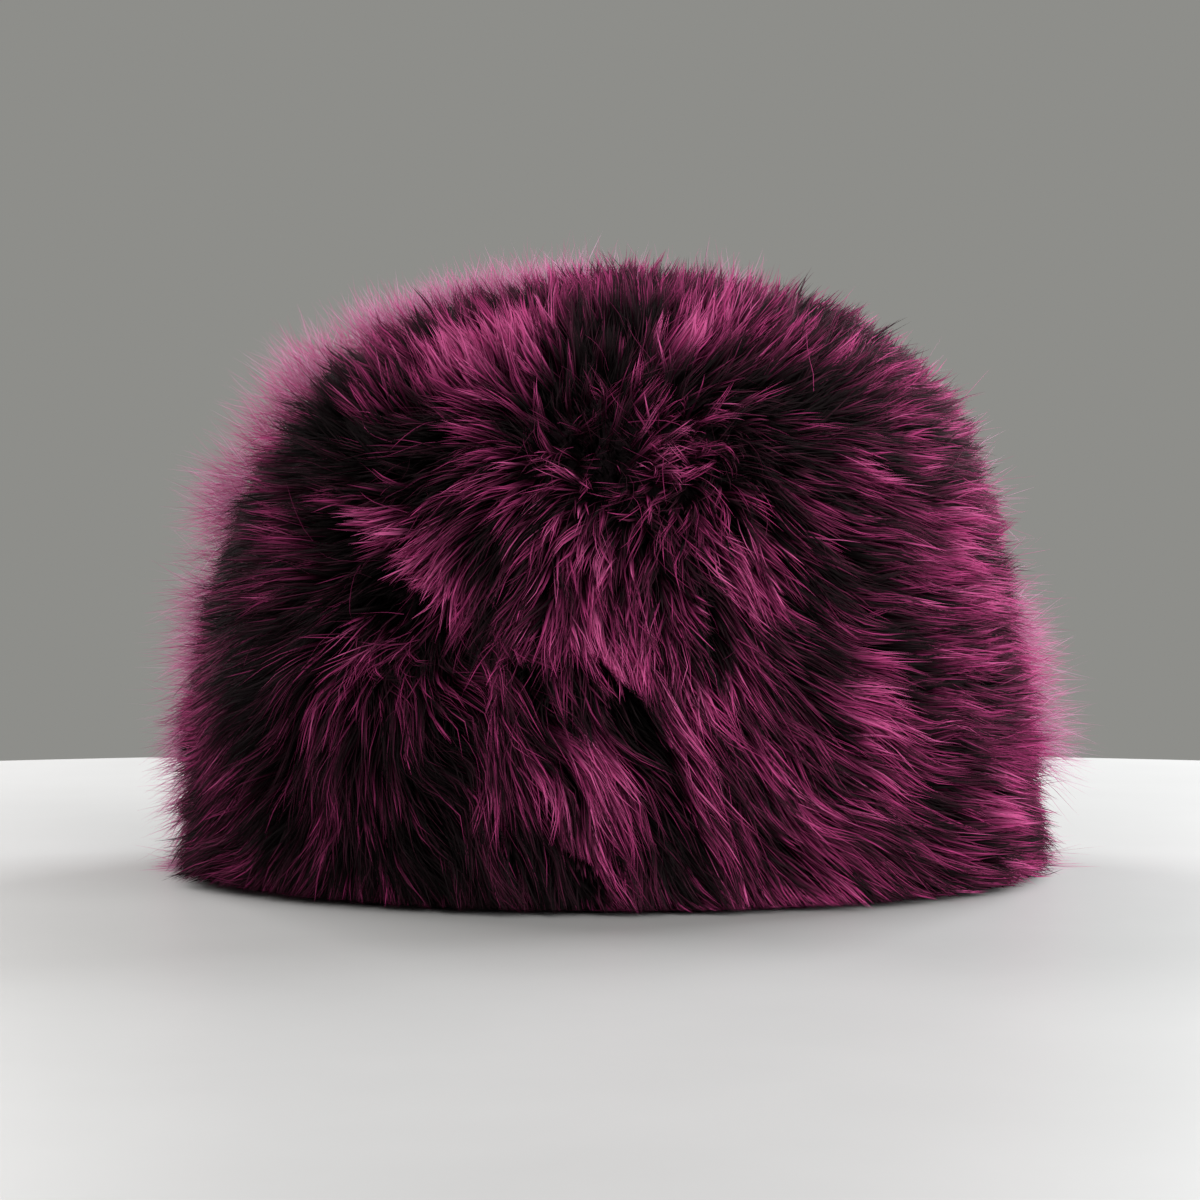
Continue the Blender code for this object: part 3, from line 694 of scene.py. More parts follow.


# lift is how far the tips stand off the roots' dome, pull how closely hairs follow their tuft, dark how much
# less dye they took, paintedEdgeShade how much painted shade darkens the low hairs at a tuft's edge, and
# messTurn how freely they turn in a whorl
furLayers = {
    "wisps": {  # flat pointed bunches of hair, striped along
        "count": 38000, "rows": 5, "length": (0.014, 0.024), "width": 0.00064, "taper": 0.85,
        "lift": (0.0052, 0.0118), "pull": 0.90, "dark": 0.03, "paintedEdgeShade": 0.42, "frontShare": 0.5,
        "stir": 0.08, "curl": 0.30, "messTurn": 0.2, "evenness": 0.75,
    },
    "guard_hair": {  # fine single hairs
        "count": 66000, "rows": 5, "length": (0.017, 0.028), "width": 0.00024, "taper": 0.60,
        "lift": (0.0058, 0.0130), "pull": 0.82, "dark": 0.03, "paintedEdgeShade": 0.32, "frontShare": 0.5,
        "stir": 0.14, "curl": 0.35, "messTurn": 0.3, "evenness": 0.35,
    },
    "under_hair": {  # short and dark, it fills the fur between the rest
        "count": 27000, "rows": 4, "length": (0.011, 0.018), "width": 0.00095, "taper": 0.75,
        "lift": (0.0030, 0.0090), "pull": 0.66, "dark": 0.26, "paintedEdgeShade": 0.22, "frontShare": 0.5,
        "stir": 0.18, "curl": 0.40, "messTurn": 0.3, "evenness": 0.75,
    },
}
# Hairs gather into tufts, and tufts into locks
tuftSetup = {
    "count": 20000, "length": 0.030, "rows": 6, "reach": 0.0017, "pull": 0.36, "stir": 0.19, "curl": 0.60,
    "messTurn": 1.7, "whorlFree": 0.8, "dyeSpread": 0.14, "liftSpread": 0.14, "lengths": (0.80, 1.15),
    "overhang": (-0.003, 0.010), "overhangShare": (0.3, 1.0),
}
lockSetup = {
    "count": 1250, "length": 0.034, "rows": 6, "stir": 0.12, "curl": 0.45, "messTurn": 1.2, "dyeSpread": 0.06,
    "liftSpread": 0.10,
}
pelts = ["crown", "side_left", "side_right"]

print("scene: combing")
tables = {"upper": combTable(combUpper, combAround), "left": combTable(combLeft, combAround)}
seamLine = seamPath()


def turnsOf(setup, roots):
    # How far each hair or tuft turns from the lie of the hair about it
    freely = chance.normal(0, setup["messTurn"], len(roots)) * whorlAt(roots, "mess")
    return chance.normal(0, setup["stir"], len(roots)) + freely


def strands(setup, roots, length, turn):
    # Hairs of a layer over the dome, before they are lifted off it
    bend = chance.normal(0, setup["curl"], len(roots))
    return march(roots, isLeft(roots), length, setup["rows"] - 1, turn, bend)


lockRoots = scatter(lockSetup["count"], pile)
lockPaths = strands(lockSetup, lockRoots, np.full(len(lockRoots), lockSetup["length"]),
                    turnsOf(lockSetup, lockRoots))
lockDye = chance.normal(0, lockSetup["dyeSpread"], len(lockRoots))
lockLift = chance.normal(1, lockSetup["liftSpread"], len(lockRoots))

tuftRoots = scatter(tuftSetup["count"], pile)
tuftLock = nearestOf(tuftRoots, lockRoots)
tuftTurn = turnsOf(tuftSetup, tuftRoots)
tuftPaths = strands(tuftSetup, tuftRoots, np.full(len(tuftRoots), tuftSetup["length"]), tuftTurn)
along = np.linspace(0, 1, tuftSetup["rows"])
near = tuftSetup["pull"] * (1 - tuftSetup["whorlFree"] * np.clip(whorlAt(tuftRoots, "mess"), 0, 1))
tuftPaths = tuftPaths + (lockPaths[tuftLock] - tuftPaths) * near[:, None, None] * (along**1.3)[None, :, None]
tuftDye = chance.normal(0, tuftSetup["dyeSpread"], len(tuftRoots)) * (1 + whorlAt(tuftRoots, "mess"))
tuftDye = tuftDye + lockDye[tuftLock]
tuftLift = chance.normal(1, tuftSetup["liftSpread"], len(tuftRoots)) * lockLift[tuftLock]
tuftLength = chance.uniform(*tuftSetup["lengths"], len(tuftRoots))
tuftOverhang = chance.uniform(*tuftSetup["overhang"], len(tuftRoots))
tuftOverhang = tuftOverhang * chance.uniform(*tuftSetup["overhangShare"], len(tuftRoots))
print("scene: combed", len(tuftRoots), "tufts")


# What the layers share. Lengths, heights and reaches in metres, seamTurn in azimuth
coat = {
    "rankAt": (1.08, 0.78, 0.28),  # a hair's rank in its tuft: at the middle, lost per reach, and by chance
    "whorlShort": 0.62, "whorlRise": 0.12, "whorlFine": 0.45,
    "tuftTurn": 0.8,  # share of its tuft's turn that a hair takes
    "seamRagged": 0.002,
    "ridgeReach": 0.012, "ridgeRise": 0.0022, "ridgeDye": 0.14,  # the upper pelt's edge along the front seam
    "underReach": (0.017, 0.004), "underSink": 0.42, "underRidgeShadow": 0.24,  # the left pelt beneath it, its hair painted darker as the ridge's shadow
    "seamFoot": (0.012, 0.030), "seamTurn": (-50, -32), "seamClosed": 0.85,
    "cutRise": 0.4,  # share of the lift that a hair loses as it is cut
    "calmRank": (0.62, 0.2),
    "partedSink": 0.5, "partedShade": 0.38,
    "leastLift": 0.0012, "rootSink": 0.0010, "riseCurve": 0.75,
    "floorGap": (0.0003, 0.0022), "lowest": 0.0009,
    # The outline's extra dye here is painted backlit glow
    "paintedGlowDye": 0.16, "hairDyeSpread": 0.05, "dyeRange": (0.02, 0.86), "dyeJitter": 0.01,
    "widths": (0.6, 1.4), "roll": 0.42, "twist": 0.4,  # roll and twist in radians
}


def seamShape(roots, left):
    # How much each root is on the ridge over the front seam, and how much beneath it
    gap = np.sqrt(((roots[:, None, :] - seamLine[None]) ** 2).sum(-1).min(1))
    onSeam = fade(roots, "z", coat["seamFoot"]) * smooth(*coat["seamTurn"], azimuthOf(roots))
    ridge = np.exp(-((gap / coat["ridgeReach"]) ** 2)) * onSeam * ~left
    under = smooth(*coat["underReach"], gap) * onSeam * left
    shows = 1 - coat["seamClosed"] * plainAt(azimuthOf(roots))
    return ridge * shows, under * shows


def layerPaths(setup, roots, tuft):
    # Where the hairs of a layer lie on the dome, and the share of each that is left after its end is cut
    count = len(roots)
    fromWhorls = np.clip(whorlAt(roots, "mess", 1.5), 0, 1)
    length = chance.uniform(*setup["length"], count) * tuftLength[tuft]
    length = length * (1 - coat["whorlShort"] * fromWhorls) * lengthAt(roots)
    paths = strands(setup, roots, length, turnsOf(setup, roots) + coat["tuftTurn"] * tuftTurn[tuft])
    along = np.linspace(0, 1, setup["rows"])
    shared = pathAt(tuftPaths[tuft], along[None] * (length / tuftSetup["length"])[:, None])
    paths = paths + (shared - paths) * setup["pull"] * (along**1.1)[None, :, None]
    paths = onDome(paths, pile)
    ragged = chance.uniform(-coat["seamRagged"], coat["seamRagged"], count)
    ends = seamEnds(paths, isLeft(roots), length, tuftOverhang[tuft] + ragged)
    paths = pathAt(paths, ends[:, None] * along[None])
    return pathAt(paths, partingEnds(paths)[:, None] * along[None]), ends


def layerLift(setup, roots, rank, tuft, ends, ridge, under):
    # How far the tip of each hair stands off the roots' dome
    low, high = setup["lift"]
    mess = np.clip(whorlAt(roots, "mess"), 0, 1)
    lift = (low + (high - low) * rank) * tuftLift[tuft] * (1 + coat["whorlRise"] * mess)
    lift = lift * (1 - coat["underSink"] * under) * (1 - coat["cutRise"] + coat["cutRise"] * np.sqrt(ends))
    lift = lift + coat["ridgeRise"] * ridge
    evenRank = coat["calmRank"][0] + coat["calmRank"][1] * rank
    even = low + (high - low) * evenRank
    lift = lift + (even - lift) * setup["evenness"] * calmAt(roots) - dipAt(roots)
    return np.maximum(lift * (1 - coat["partedSink"] * partingAt(roots)), coat["leastLift"])


def layerDye(setup, points, roots, rank, tuft, ridge, under):
    dye = dyeAndLightAt(onDome(points[:, -2], 0.0)) + tuftDye[tuft]
    dye = dye + chance.normal(0, coat["hairDyeSpread"], len(roots))
    # Low hairs towards a tuft's edge are painted darker as shade between the tufts
    dye = dye - setup["dark"] - setup["paintedEdgeShade"] * (1 - rank) - whorlAt(roots, "dark")
    # Hair beneath the seam's ridge is painted darker as its shadow
    dye = dye - coat["underRidgeShadow"] * under + coat["ridgeDye"] * ridge
    # Hair at the outline is painted paler as backlit glow
    # Hair in a parting is painted darker as shade
    dye = dye - coat["partedShade"] * partingAt(roots) + coat["paintedGlowDye"] * paintedGlowAt(roots)
    return np.clip(dye, *coat["dyeRange"]) + chance.uniform(-coat["dyeJitter"], coat["dyeJitter"], len(roots))


def makeLayer(layer, setup):
    roots = scatter(setup["count"], pile, setup["frontShare"])
    count = len(roots)
    tuft = nearestOf(roots, tuftRoots)
    # A tuft is rounded: the hairs from its middle lie highest, and those towards its edge lie lower and are
    # painted darker as shade
    aside = np.linalg.norm(roots - tuftRoots[tuft], axis=-1) / tuftSetup["reach"]
    middle, loss, luck = coat["rankAt"]
    rank = np.clip(middle - loss * aside + chance.uniform(-luck, luck, count), 0, 1)
    paths, ends = layerPaths(setup, roots, tuft)
    normals = outward(paths, pile)
    ridge, under = seamShape(roots, isLeft(roots))
    lift = layerLift(setup, roots, rank, tuft, ends, ridge, under)
    along = np.linspace(0, 1, setup["rows"])
    rise = lift[:, None] * (along ** coat["riseCurve"])[None] - coat["rootSink"] * (1 - along)[None]
    points = paths + normals * rise[..., None]
    kept = floorEnds(points, chance.uniform(*coat["floorGap"], count))
    points = pathAt(points, kept[:, None] * along[None])
    points[..., 2] = np.maximum(points[..., 2], coat["lowest"])
    dye = layerDye(setup, points, roots, rank, tuft, ridge, under)
    mess = np.clip(whorlAt(roots, "mess"), 0, 1)
    widths = setup["width"] * chance.uniform(*coat["widths"], count) * (1 - coat["whorlFine"] * mess)
    widths = widths[:, None] * (1 - setup["taper"] * along**1.6)[None]
    roll, twist = chance.normal(0, coat["roll"], count), chance.normal(0, coat["twist"], count)
    made = []
    which = peltOf(roots)
    for index, pelt in enumerate(pelts):
        own = which == index
        piece = strandMesh(
            f"{pelt}_{layer}", points[own], widths[own], normals[own], along, dye[own], roll[own], twist[own]
        )
        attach(piece, "root")
        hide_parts(f"{pelt}_fur")
        made.append(piece)
        print("scene:", piece.name, trianglesOf(piece), "triangles")
    return made


fuzz = {
    "tries": 500000, "count": 13000, "depth": 0.0065, "width": 0.00012, "length": (0.0085, 0.0155),
    "leftRise": 0.0056, "leftFoot": (0.020, 0.090), "leftOf": (-0.050, -0.080),  # longer at the left shoulder
    "rightRise": 0.0045, "rightHead": (0.072, 0.050), "rightOf": (0.060, 0.090),  # and at the right belly
    "crownShort": 0.12, "crownFrom": (0.125, 0.150),
    "lie": (0.2, 1.1), "stray": 0.33, "bend": 0.5, "bendStray": 0.35, "bendShare": 0.3,
    # The fuzz's pale dye is painted backlit glow, and less of it is painted farther behind the outline
    "dye": 0.93, "glowFadeBehind": 0.28, "backFrom": (0.10, 0.42), "dyeSpread": 0.06, "lowest": 0.0006,
    "widths": (0.7, 1.3), "taper": 0.3, "roll": (-1.5, 1.5),
}


def makeFuzz():
    # Fine hair that stands off the hat where the light comes from behind, its pale dye painted backlit glow
    # on top of its own translucency
    roots = scatter(fuzz["tries"], fuzz["depth"])
    roots = roots[chance.uniform(0, 1, len(roots)) < paintedGlowAt(roots)][:fuzz["count"]]
    count = len(roots)
    normals = outward(roots, fuzz["depth"])
    way = np.where(isLeft(roots)[:, None], combAt(roots, normals, tables["left"]),
                   combAt(roots, normals, tables["upper"]))
    lie = unit(way) * chance.uniform(*fuzz["lie"], (count, 1))
    lie = unit(normals + lie + chance.normal(0, fuzz["stray"], (count, 3)))
    bend = unit(way) * fuzz["bend"] + chance.normal(0, fuzz["bendStray"], (count, 3))
    taller = fuzz["leftRise"] * fade(roots, "z", fuzz["leftFoot"]) * fade(roots, "x", fuzz["leftOf"])
    right = fuzz["rightRise"] * fade(roots, "z", fuzz["rightHead"]) * fade(roots, "x", fuzz["rightOf"])
    short = 1 - fuzz["crownShort"] * fade(roots, "z", fuzz["crownFrom"])
    length = (chance.uniform(*fuzz["length"], count) * short + taller + right)[:, None, None]
    along = np.array((0.0, 0.5, 1.0))
    curve = bend[:, None] * fuzz["bendShare"] * along[None, :, None]
    points = roots[:, None] + (lie[:, None] + curve) * along[:, None] * length
    points[..., 2] = np.maximum(points[..., 2], fuzz["lowest"])
    widths = (fuzz["width"] * chance.uniform(*fuzz["widths"], count))[:, None]
    widths = widths * (1 - fuzz["taper"] * along)[None]
    # Painted glow: pale near the outline, less pale farther behind it
    dye = fuzz["dye"] - fuzz["glowFadeBehind"] * smooth(*fuzz["backFrom"], -facingAt(roots))
    dye = np.clip(dye + chance.normal(0, fuzz["dyeSpread"], count), 0.01, 0.99)
    roll, twist = chance.uniform(*fuzz["roll"], count), np.zeros(count)
    return strandMesh("halo_fuzz", points, widths, np.repeat(normals[:, None], 3, 1), along, dye, roll, twist)


stray = {
    "count": 600, "rows": 6, "length": (0.008, 0.018), "width": 0.00012, "lift": (0.0095, 0.0135),
    "stir": 0.6, "curl": 0.8, "messTurn": 1.0, "dye": 0.52, "dyeSpread": 0.12, "elsewhere": 0.03,
    "floor": 0.0005, "lowest": 0.0009, "widths": (0.7, 1.3), "taper": 0.6, "roll": 0.8, "twist": 0.8,
    "rootLift": 0.55,  # share of the lift that a stray has at its root, as it lies over the rest
}


def makeStrays():
    # Fine loose hairs that cross over the rest
    roots = scatter(stray["count"] * 5, pile, 0.5)
    often = stray["elsewhere"] + (1 - stray["elsewhere"]) * whorlAt(roots, "mess", 1.6)
    keep = chance.uniform(0, 1, len(roots)) < often
    roots = roots[keep][: stray["count"]]
    count = len(roots)
    length = chance.uniform(*stray["length"], count)
    paths = strands(stray, roots, length, turnsOf(stray, roots))
    normals = outward(paths, pile)
    along = np.linspace(0, 1, stray["rows"])
    lift = chance.uniform(*stray["lift"], count)
    rise = lift[:, None] * (stray["rootLift"] + (1 - stray["rootLift"]) * along**0.6)[None]
    points = paths + normals * rise[..., None]
    points = pathAt(points, floorEnds(points, np.full(count, stray["floor"]))[:, None] * along[None])
    points[..., 2] = np.maximum(points[..., 2], stray["lowest"])
    widths = stray["width"] * chance.uniform(*stray["widths"], count)[:, None]
    widths = widths * (1 - stray["taper"] * along**2)[None]
    dye = np.clip(stray["dye"] + chance.normal(0, stray["dyeSpread"], count), 0.01, 0.9)
    roll, twist = chance.normal(0, stray["roll"], count), chance.normal(0, stray["twist"], count)
    return strandMesh("stray_hair", points, widths, normals, along, dye, roll, twist)


def newMaterial(name):
    material = bpy.data.materials.new(name)
    material.use_nodes = True
    nodes = material.node_tree.nodes
    return material, nodes, material.node_tree.links, nodes["Principled BSDF"], nodes["Material Output"]


hairDye = {
    "stops": [  # share of dye, colour of the hair
        (0.00, (0.0115, 0.0096, 0.0098)),
        (0.28, (0.0200, 0.0125, 0.0148)),
        (0.46, (0.068, 0.0175, 0.034)),
        (0.62, (0.240, 0.031, 0.106)),
        (0.80, (0.530, 0.060, 0.228)),
        # The two palest stops, past the fur's cut at 0.86, colour mostly the fuzz: painted backlit glow
        (0.90, (0.760, 0.165, 0.400)),
        (1.00, (0.980, 0.520, 0.790)),
    ],
    "ior": 1.03,  # matt hair, with hardly a highlight at its edges
    "guardRoughness": 0.45,
    "underRoughness": 0.65,
    "glow": 0.22,  # share of light that passes through a hair
    "fuzzGlow": 0.50,
    "darkRoot": (0.30, 0.85),  # shares of its length over which a hair comes out of its dark root, black dye and painted depth shade together
    "stripes": (2.6, 520.0, 1.0),  # fine stripes along a ribbon
    "stripeNoise": (0.3, 0.7),
    "stripeShade": (0.82, 1.18),
}


def hairColourGroup():
    # From the strand's map: dye by v, dark roots by u as black dye and painted depth shade together, and a
    # shade of its own for each strand
    group = bpy.data.node_groups.new("dyedHair", "ShaderNodeTree")
    group.interface.new_socket("Map", in_out="INPUT", socket_type="NodeSocketVector")
    group.interface.new_socket("Root Shade", in_out="INPUT", socket_type="NodeSocketFloat")
    group.interface.new_socket("Colour", in_out="OUTPUT", socket_type="NodeSocketColor")
    nodes, links = group.nodes, group.links
    taken = nodes.new("NodeGroupInput")
    given = nodes.new("NodeGroupOutput")
    parts = nodes.new("ShaderNodeSeparateXYZ")
    links.new(taken.outputs["Map"], parts.inputs[0])
    dye = nodes.new("ShaderNodeValToRGB")
    stops = hairDye["stops"]
    ramp = dye.color_ramp
    ramp.elements[0].position, ramp.elements[0].color = stops[0][0], (*stops[0][1], 1)
    ramp.elements[1].position, ramp.elements[1].color = stops[-1][0], (*stops[-1][1], 1)
    for place, colour in stops[1:-1]:
        ramp.elements.new(place).color = (*colour, 1)
    links.new(parts.outputs["Y"], dye.inputs["Fac"])
    rise = nodes.new("ShaderNodeMapRange")
    rise.interpolation_type = "SMOOTHSTEP"
    rise.inputs["From Min"].default_value, rise.inputs["From Max"].default_value = hairDye["darkRoot"]
    rise.inputs["To Max"].default_value = 1.0
    links.new(parts.outputs["X"], rise.inputs["Value"])
    links.new(taken.outputs["Root Shade"], rise.inputs["To Min"])
    spread = nodes.new("ShaderNodeVectorMath")
    spread.operation = "MULTIPLY"
    spread.inputs[1].default_value = hairDye["stripes"]
    links.new(taken.outputs["Map"], spread.inputs[0])
    grain = nodes.new("ShaderNodeTexNoise")
    grain.inputs["Scale"].default_value = 1.0
    grain.inputs["Detail"].default_value = 1.0
    links.new(spread.outputs[0], grain.inputs["Vector"])
    shade = nodes.new("ShaderNodeMapRange")
    shade.inputs["From Min"].default_value, shade.inputs["From Max"].default_value = hairDye["stripeNoise"]
    shade.inputs["To Min"].default_value, shade.inputs["To Max"].default_value = hairDye["stripeShade"]
    links.new(grain.outputs["Fac"], shade.inputs["Value"])
    both = nodes.new("ShaderNodeMath")
    both.operation = "MULTIPLY"
    links.new(rise.outputs[0], both.inputs[0])
    links.new(shade.outputs[0], both.inputs[1])
    tinted = nodes.new("ShaderNodeVectorMath")
    tinted.operation = "SCALE"
    links.new(dye.outputs["Color"], tinted.inputs[0])
    links.new(both.outputs[0], tinted.inputs["Scale"])
    links.new(tinted.outputs[0], given.inputs["Colour"])
    return group


def hairMaterial(name, roughness, rootShade, glow):
    material, nodes, links, shader, output = newMaterial(name)
    place = nodes.new("ShaderNodeUVMap")
    place.uv_map = "OFBake"
    colour = nodes.new("ShaderNodeGroup")
    colour.node_tree = hairGroup
    colour.inputs["Root Shade"].default_value = rootShade
    links.new(place.outputs["UV"], colour.inputs["Map"])
    links.new(colour.outputs["Colour"], shader.inputs["Base Color"])
    shader.inputs["Roughness"].default_value = roughness
    shader.inputs["IOR"].default_value = hairDye["ior"]
    through = nodes.new("ShaderNodeBsdfTranslucent")
    links.new(colour.outputs["Colour"], through.inputs["Color"])
    mix = nodes.new("ShaderNodeMixShader")
    mix.inputs["Fac"].default_value = glow
    links.new(shader.outputs["BSDF"], mix.inputs[1])
    links.new(through.outputs["BSDF"], mix.inputs[2])
    links.new(mix.outputs["Shader"], output.inputs["Surface"])
    return material


hairGroup = hairColourGroup()
furMaterials = {
    "wisps": hairMaterial("wispHair", hairDye["guardRoughness"], 0.10, hairDye["glow"]),
    "guard_hair": hairMaterial("guardHair", hairDye["guardRoughness"], 0.18, hairDye["glow"]),
    "under_hair": hairMaterial("underHair", hairDye["underRoughness"], 0.05, hairDye["glow"]),
}
fuzzMaterial = hairMaterial("haloFuzz", hairDye["underRoughness"], 0.70, hairDye["fuzzGlow"])
strayMaterial = hairMaterial("strayHair", hairDye["guardRoughness"], 0.70, hairDye["glow"])
for layer, setup in furLayers.items():
    for piece in makeLayer(layer, setup):
        piece.data.materials.append(furMaterials[layer])
for piece, material in ((makeFuzz(), fuzzMaterial), (makeStrays(), strayMaterial)):
    piece.data.materials.append(material)
    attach(piece, "root")
    print("scene:", piece.name, trianglesOf(piece), "triangles")


underfur = {
    "segments": 72, "rings": 22, "inset": 0.0006, "mouth": 0.0915, "lowest": 0.0006, "weld": 0.00005,
    "colour": (0.009, 0.007, 0.0075), "tips": (0.018, 0.011, 0.014), "curlScale": 420, "roughness": 0.95,
}


def makeUnderfur():
    # The dense dark wool that the hairs stand in: a turned wall from the rim up to the crown
    depth = pile + underfur["inset"]
    wide, deep, high = dome(depth)
    rise = np.linspace(0, math.pi / 2, underfur["rings"])
    line = domePoint(90.0, high * np.sin(rise), depth)
    line[:, 2] = np.maximum(line[:, 2], underfur["lowest"])
    bpy.ops.object.select_all(action="DESELECT")
    bpy.ops.mesh.primitive_plane_add(size=0.01)
    thing = bpy.context.object
    thing.name = "underfur"
    bpy.ops.object.mode_set(mode="EDIT")
    bpy.ops.mesh.select_all(action="SELECT")
    bpy.ops.mesh.merge(type="CENTER")
    before = Vector((underfur["mouth"], 0, line[0, 2]))
    bpy.ops.transform.translate(value=before)
    for x, _, z in line:
        here = Vector((x, 0, z))
        bpy.ops.mesh.extrude_region_move(TRANSFORM_OT_translate={"value": here - before})
        before = here
    bpy.ops.mesh.select_all(action="SELECT")
    bpy.ops.mesh.spin(steps=underfur["segments"], angle=math.tau, center=(0, 0, 0), axis=(0, 0, 1))
    bpy.ops.mesh.select_all(action="SELECT")
    bpy.ops.mesh.remove_doubles(threshold=underfur["weld"])
    bpy.ops.transform.resize(value=(1, deep / wide, 1), center_override=(0, 0, 0))
    bpy.ops.mesh.normals_make_consistent(inside=False)
    bpy.ops.object.mode_set(mode="OBJECT")
    bpy.ops.object.shade_smooth()
    bpy.ops.object.transform_apply(location=True, rotation=True, scale=True)
    return thing


def mottleGroup():
    # Uneven colour and height on Object coordinates, for leather, wool and floor
    group = bpy.data.node_groups.new("mottle", "ShaderNodeTree")
    group.interface.new_socket("Scale", in_out="INPUT", socket_type="NodeSocketFloat")
    group.interface.new_socket("Stretch", in_out="INPUT", socket_type="NodeSocketVector")
    group.interface.new_socket("Dark", in_out="INPUT", socket_type="NodeSocketColor")
    group.interface.new_socket("Light", in_out="INPUT", socket_type="NodeSocketColor")
    group.interface.new_socket("Colour", in_out="OUTPUT", socket_type="NodeSocketColor")
    group.interface.new_socket("Height", in_out="OUTPUT", socket_type="NodeSocketFloat")
    nodes, links = group.nodes, group.links
    taken = nodes.new("NodeGroupInput")
    given = nodes.new("NodeGroupOutput")
    place = nodes.new("ShaderNodeTexCoord")
    drawn = nodes.new("ShaderNodeVectorMath")
    drawn.operation = "MULTIPLY"
    links.new(place.outputs["Object"], drawn.inputs[0])
    links.new(taken.outputs["Stretch"], drawn.inputs[1])
    noise = nodes.new("ShaderNodeTexNoise")
    noise.inputs["Detail"].default_value = 6.0
    noise.inputs["Roughness"].default_value = 0.62
    links.new(drawn.outputs[0], noise.inputs["Vector"])
    links.new(taken.outputs["Scale"], noise.inputs["Scale"])
    wider = nodes.new("ShaderNodeMapRange")
    wider.inputs["From Min"].default_value = 0.28
    wider.inputs["From Max"].default_value = 0.72
    links.new(noise.outputs["Fac"], wider.inputs["Value"])
    mix = nodes.new("ShaderNodeMix")
    mix.data_type = "RGBA"
    links.new(wider.outputs[0], mix.inputs["Factor"])
    links.new(taken.outputs["Dark"], mix.inputs["A"])
    links.new(taken.outputs["Light"], mix.inputs["B"])
    links.new(mix.outputs["Result"], given.inputs["Colour"])
    links.new(wider.outputs[0], given.inputs["Height"])
    return group


def placeMottle(nodes, scale, stretch, dark, light):
    thing = nodes.new("ShaderNodeGroup")
    thing.node_tree = mottle
    thing.inputs["Scale"].default_value = scale
    thing.inputs["Stretch"].default_value = stretch
    thing.inputs["Dark"].default_value = (*dark, 1)
    thing.inputs["Light"].default_value = (*light, 1)
    return thing


def blendColours(nodes, links, kind, share, first, second):
    mix = nodes.new("ShaderNodeMix")
    mix.data_type = "RGBA"
    mix.blend_type = kind
    mix.inputs["Factor"].default_value = share
    links.new(first, mix.inputs["A"])
    links.new(second, mix.inputs["B"])
    return mix.outputs["Result"]


def bumpFrom(nodes, links, height, strength, distance, under=None):
    bump = nodes.new("ShaderNodeBump")
    bump.inputs["Strength"].default_value = strength
    bump.inputs["Distance"].default_value = distance
    links.new(height, bump.inputs["Height"])
    if under is not None:
        links.new(under, bump.inputs["Normal"])
    return bump.outputs["Normal"]


mottle = mottleGroup()


def woolMaterial():
    material, nodes, links, shader, output = newMaterial("underfurWool")
    curls = placeMottle(nodes, underfur["curlScale"], (1, 1, 0.45), underfur["colour"], underfur["tips"])
    links.new(curls.outputs["Colour"], shader.inputs["Base Color"])
    links.new(bumpFrom(nodes, links, curls.outputs["Height"], 0.8, 0.0012), shader.inputs["Normal"])
    shader.inputs["Roughness"].default_value = underfur["roughness"]
    shader.inputs["IOR"].default_value = hairDye["ior"]
    return material


wool = makeUnderfur()
wool.data.materials.append(woolMaterial())
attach(wool, "root")
print("scene: underfur", trianglesOf(wool), "triangles")

# The flesh side of the skins, as a tanner leaves it: short nap, soft stains and fine creases
suede = {
    "dark": (0.270, 0.205, 0.150), "light": (0.400, 0.320, 0.245), "napScale": 1500, "stainScale": 26,
    "creaseScale": 120, "roughness": (0.80, 0.97),
}


def makeSuede():
    material, nodes, links, shader, output = newMaterial("fleshSuede")
    stain = placeMottle(nodes, suede["stainScale"], (1, 1, 1), suede["dark"], suede["light"])
    nap = placeMottle(nodes, suede["napScale"], (1, 1, 0.6), (0.72, 0.70, 0.68), (1.0, 1.0, 1.0))
    colour = blendColours(nodes, links, "MULTIPLY", 0.85, stain.outputs["Colour"], nap.outputs["Colour"])
    links.new(colour, shader.inputs["Base Color"])
    crease = placeMottle(nodes, suede["creaseScale"], (1, 1, 0.35), (0, 0, 0), (1, 1, 1))
    fine = bumpFrom(nodes, links, nap.outputs["Height"], 0.5, 0.0003)
    links.new(bumpFrom(nodes, links, crease.outputs["Height"], 0.45, 0.0010, fine), shader.inputs["Normal"])
    rough = nodes.new("ShaderNodeMapRange")
    rough.inputs["To Min"].default_value, rough.inputs["To Max"].default_value = suede["roughness"]
    links.new(nap.outputs["Height"], rough.inputs["Value"])
    links.new(rough.outputs[0], shader.inputs["Roughness"])
    return material


suedeMaterial = makeSuede()
for pelt in pelts:
    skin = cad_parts[f"{pelt}_skin"]
    skin.data.materials.clear()
    skin.data.materials.append(suedeMaterial)
print("scene: skins in suede")

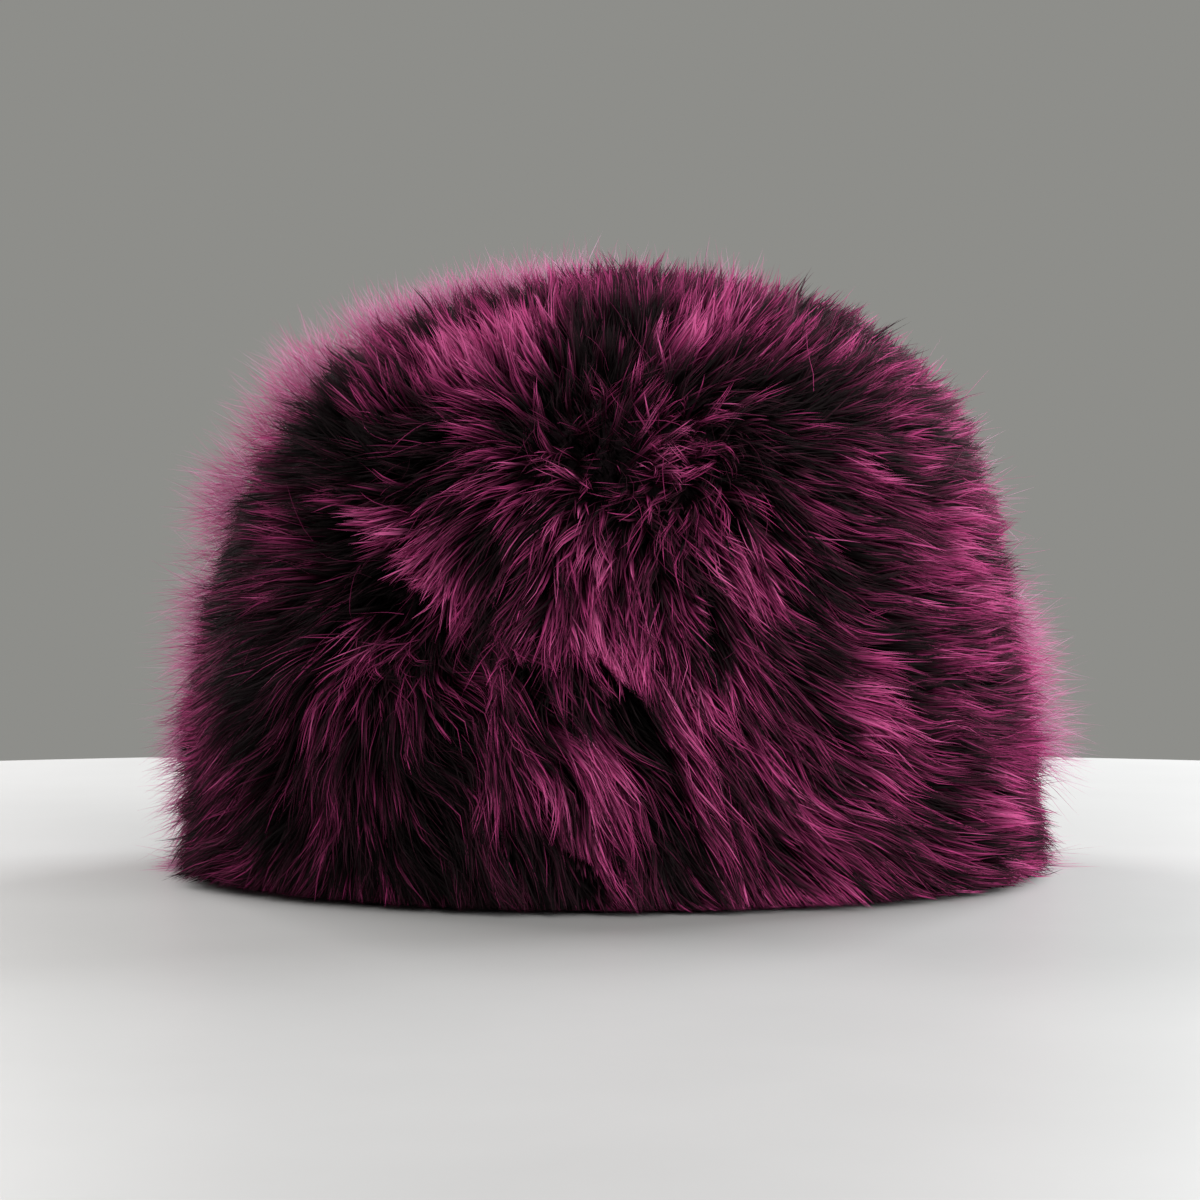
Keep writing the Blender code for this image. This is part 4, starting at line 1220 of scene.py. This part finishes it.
floorSetup = {
    "radius": 0.585, "dark": (0.400, 0.400, 0.398), "light": (0.430, 0.430, 0.428), "scale": 9,
    "roughness": 0.42,
}


def floorMaterial():
    material, nodes, links, shader, output = newMaterial("paleFloor")
    clouding = placeMottle(nodes, floorSetup["scale"], (1, 1, 1), floorSetup["dark"], floorSetup["light"])
    links.new(clouding.outputs["Colour"], shader.inputs["Base Color"])
    shader.inputs["Roughness"].default_value = floorSetup["roughness"]
    return material


bpy.ops.object.select_all(action="DESELECT")
bpy.ops.mesh.primitive_circle_add(vertices=128, radius=floorSetup["radius"], fill_type="NGON")
floor = bpy.context.object
floor.name = "floor"
floor.data.materials.append(floorMaterial())

lamps = [  # name, place, size, power, colour
    ("keyLight", (0.3, -1.6, 1.7), 1.2, 24, (1.0, 0.98, 0.97)),
    ("windowLight", (1.3, 1.5, 1.1), 1.3, 78, (0.96, 0.98, 1.0)),
    ("backLight", (-1.2, 1.4, 1.0), 1.2, 48, (1.0, 0.98, 0.98)),
    ("fillLight", (1.5, -1.2, 0.8), 1.2, 26, (1.0, 1.0, 1.0)),
]
for name, place, size, power, colour in lamps:
    lamp = bpy.data.lights.new(name, "AREA")
    lamp.size = size
    lamp.energy = power
    lamp.color = colour
    holder = bpy.data.objects.new(name, lamp)
    bpy.context.scene.collection.objects.link(holder)
    holder.location = place
    aim = Vector((0, 0, 0.08)) - Vector(place)
    holder.rotation_euler = aim.to_track_quat("-Z", "Y").to_euler()

world = bpy.data.worlds.new("paleRoom")
bpy.context.scene.world = world
world.use_nodes = True
background = world.node_tree.nodes["Background"]
background.inputs["Color"].default_value = (0.27, 0.27, 0.255, 1)
background.inputs["Strength"].default_value = 1.0

camera = bpy.data.cameras.new("camera")
camera.sensor_width = cameraPlace["sensor"]
camera.lens = cameraPlace["focalPixels"] * cameraPlace["sensor"] / cameraPlace["pixels"]
eye = bpy.data.objects.new("camera", camera)
bpy.context.scene.collection.objects.link(eye)
eye.location = photoEye
eye.rotation_euler = (math.pi / 2, 0, 0)
bpy.context.scene.camera = eye
bpy.context.scene.view_settings.view_transform = "Standard"
print("scene: floor, lamps and camera")
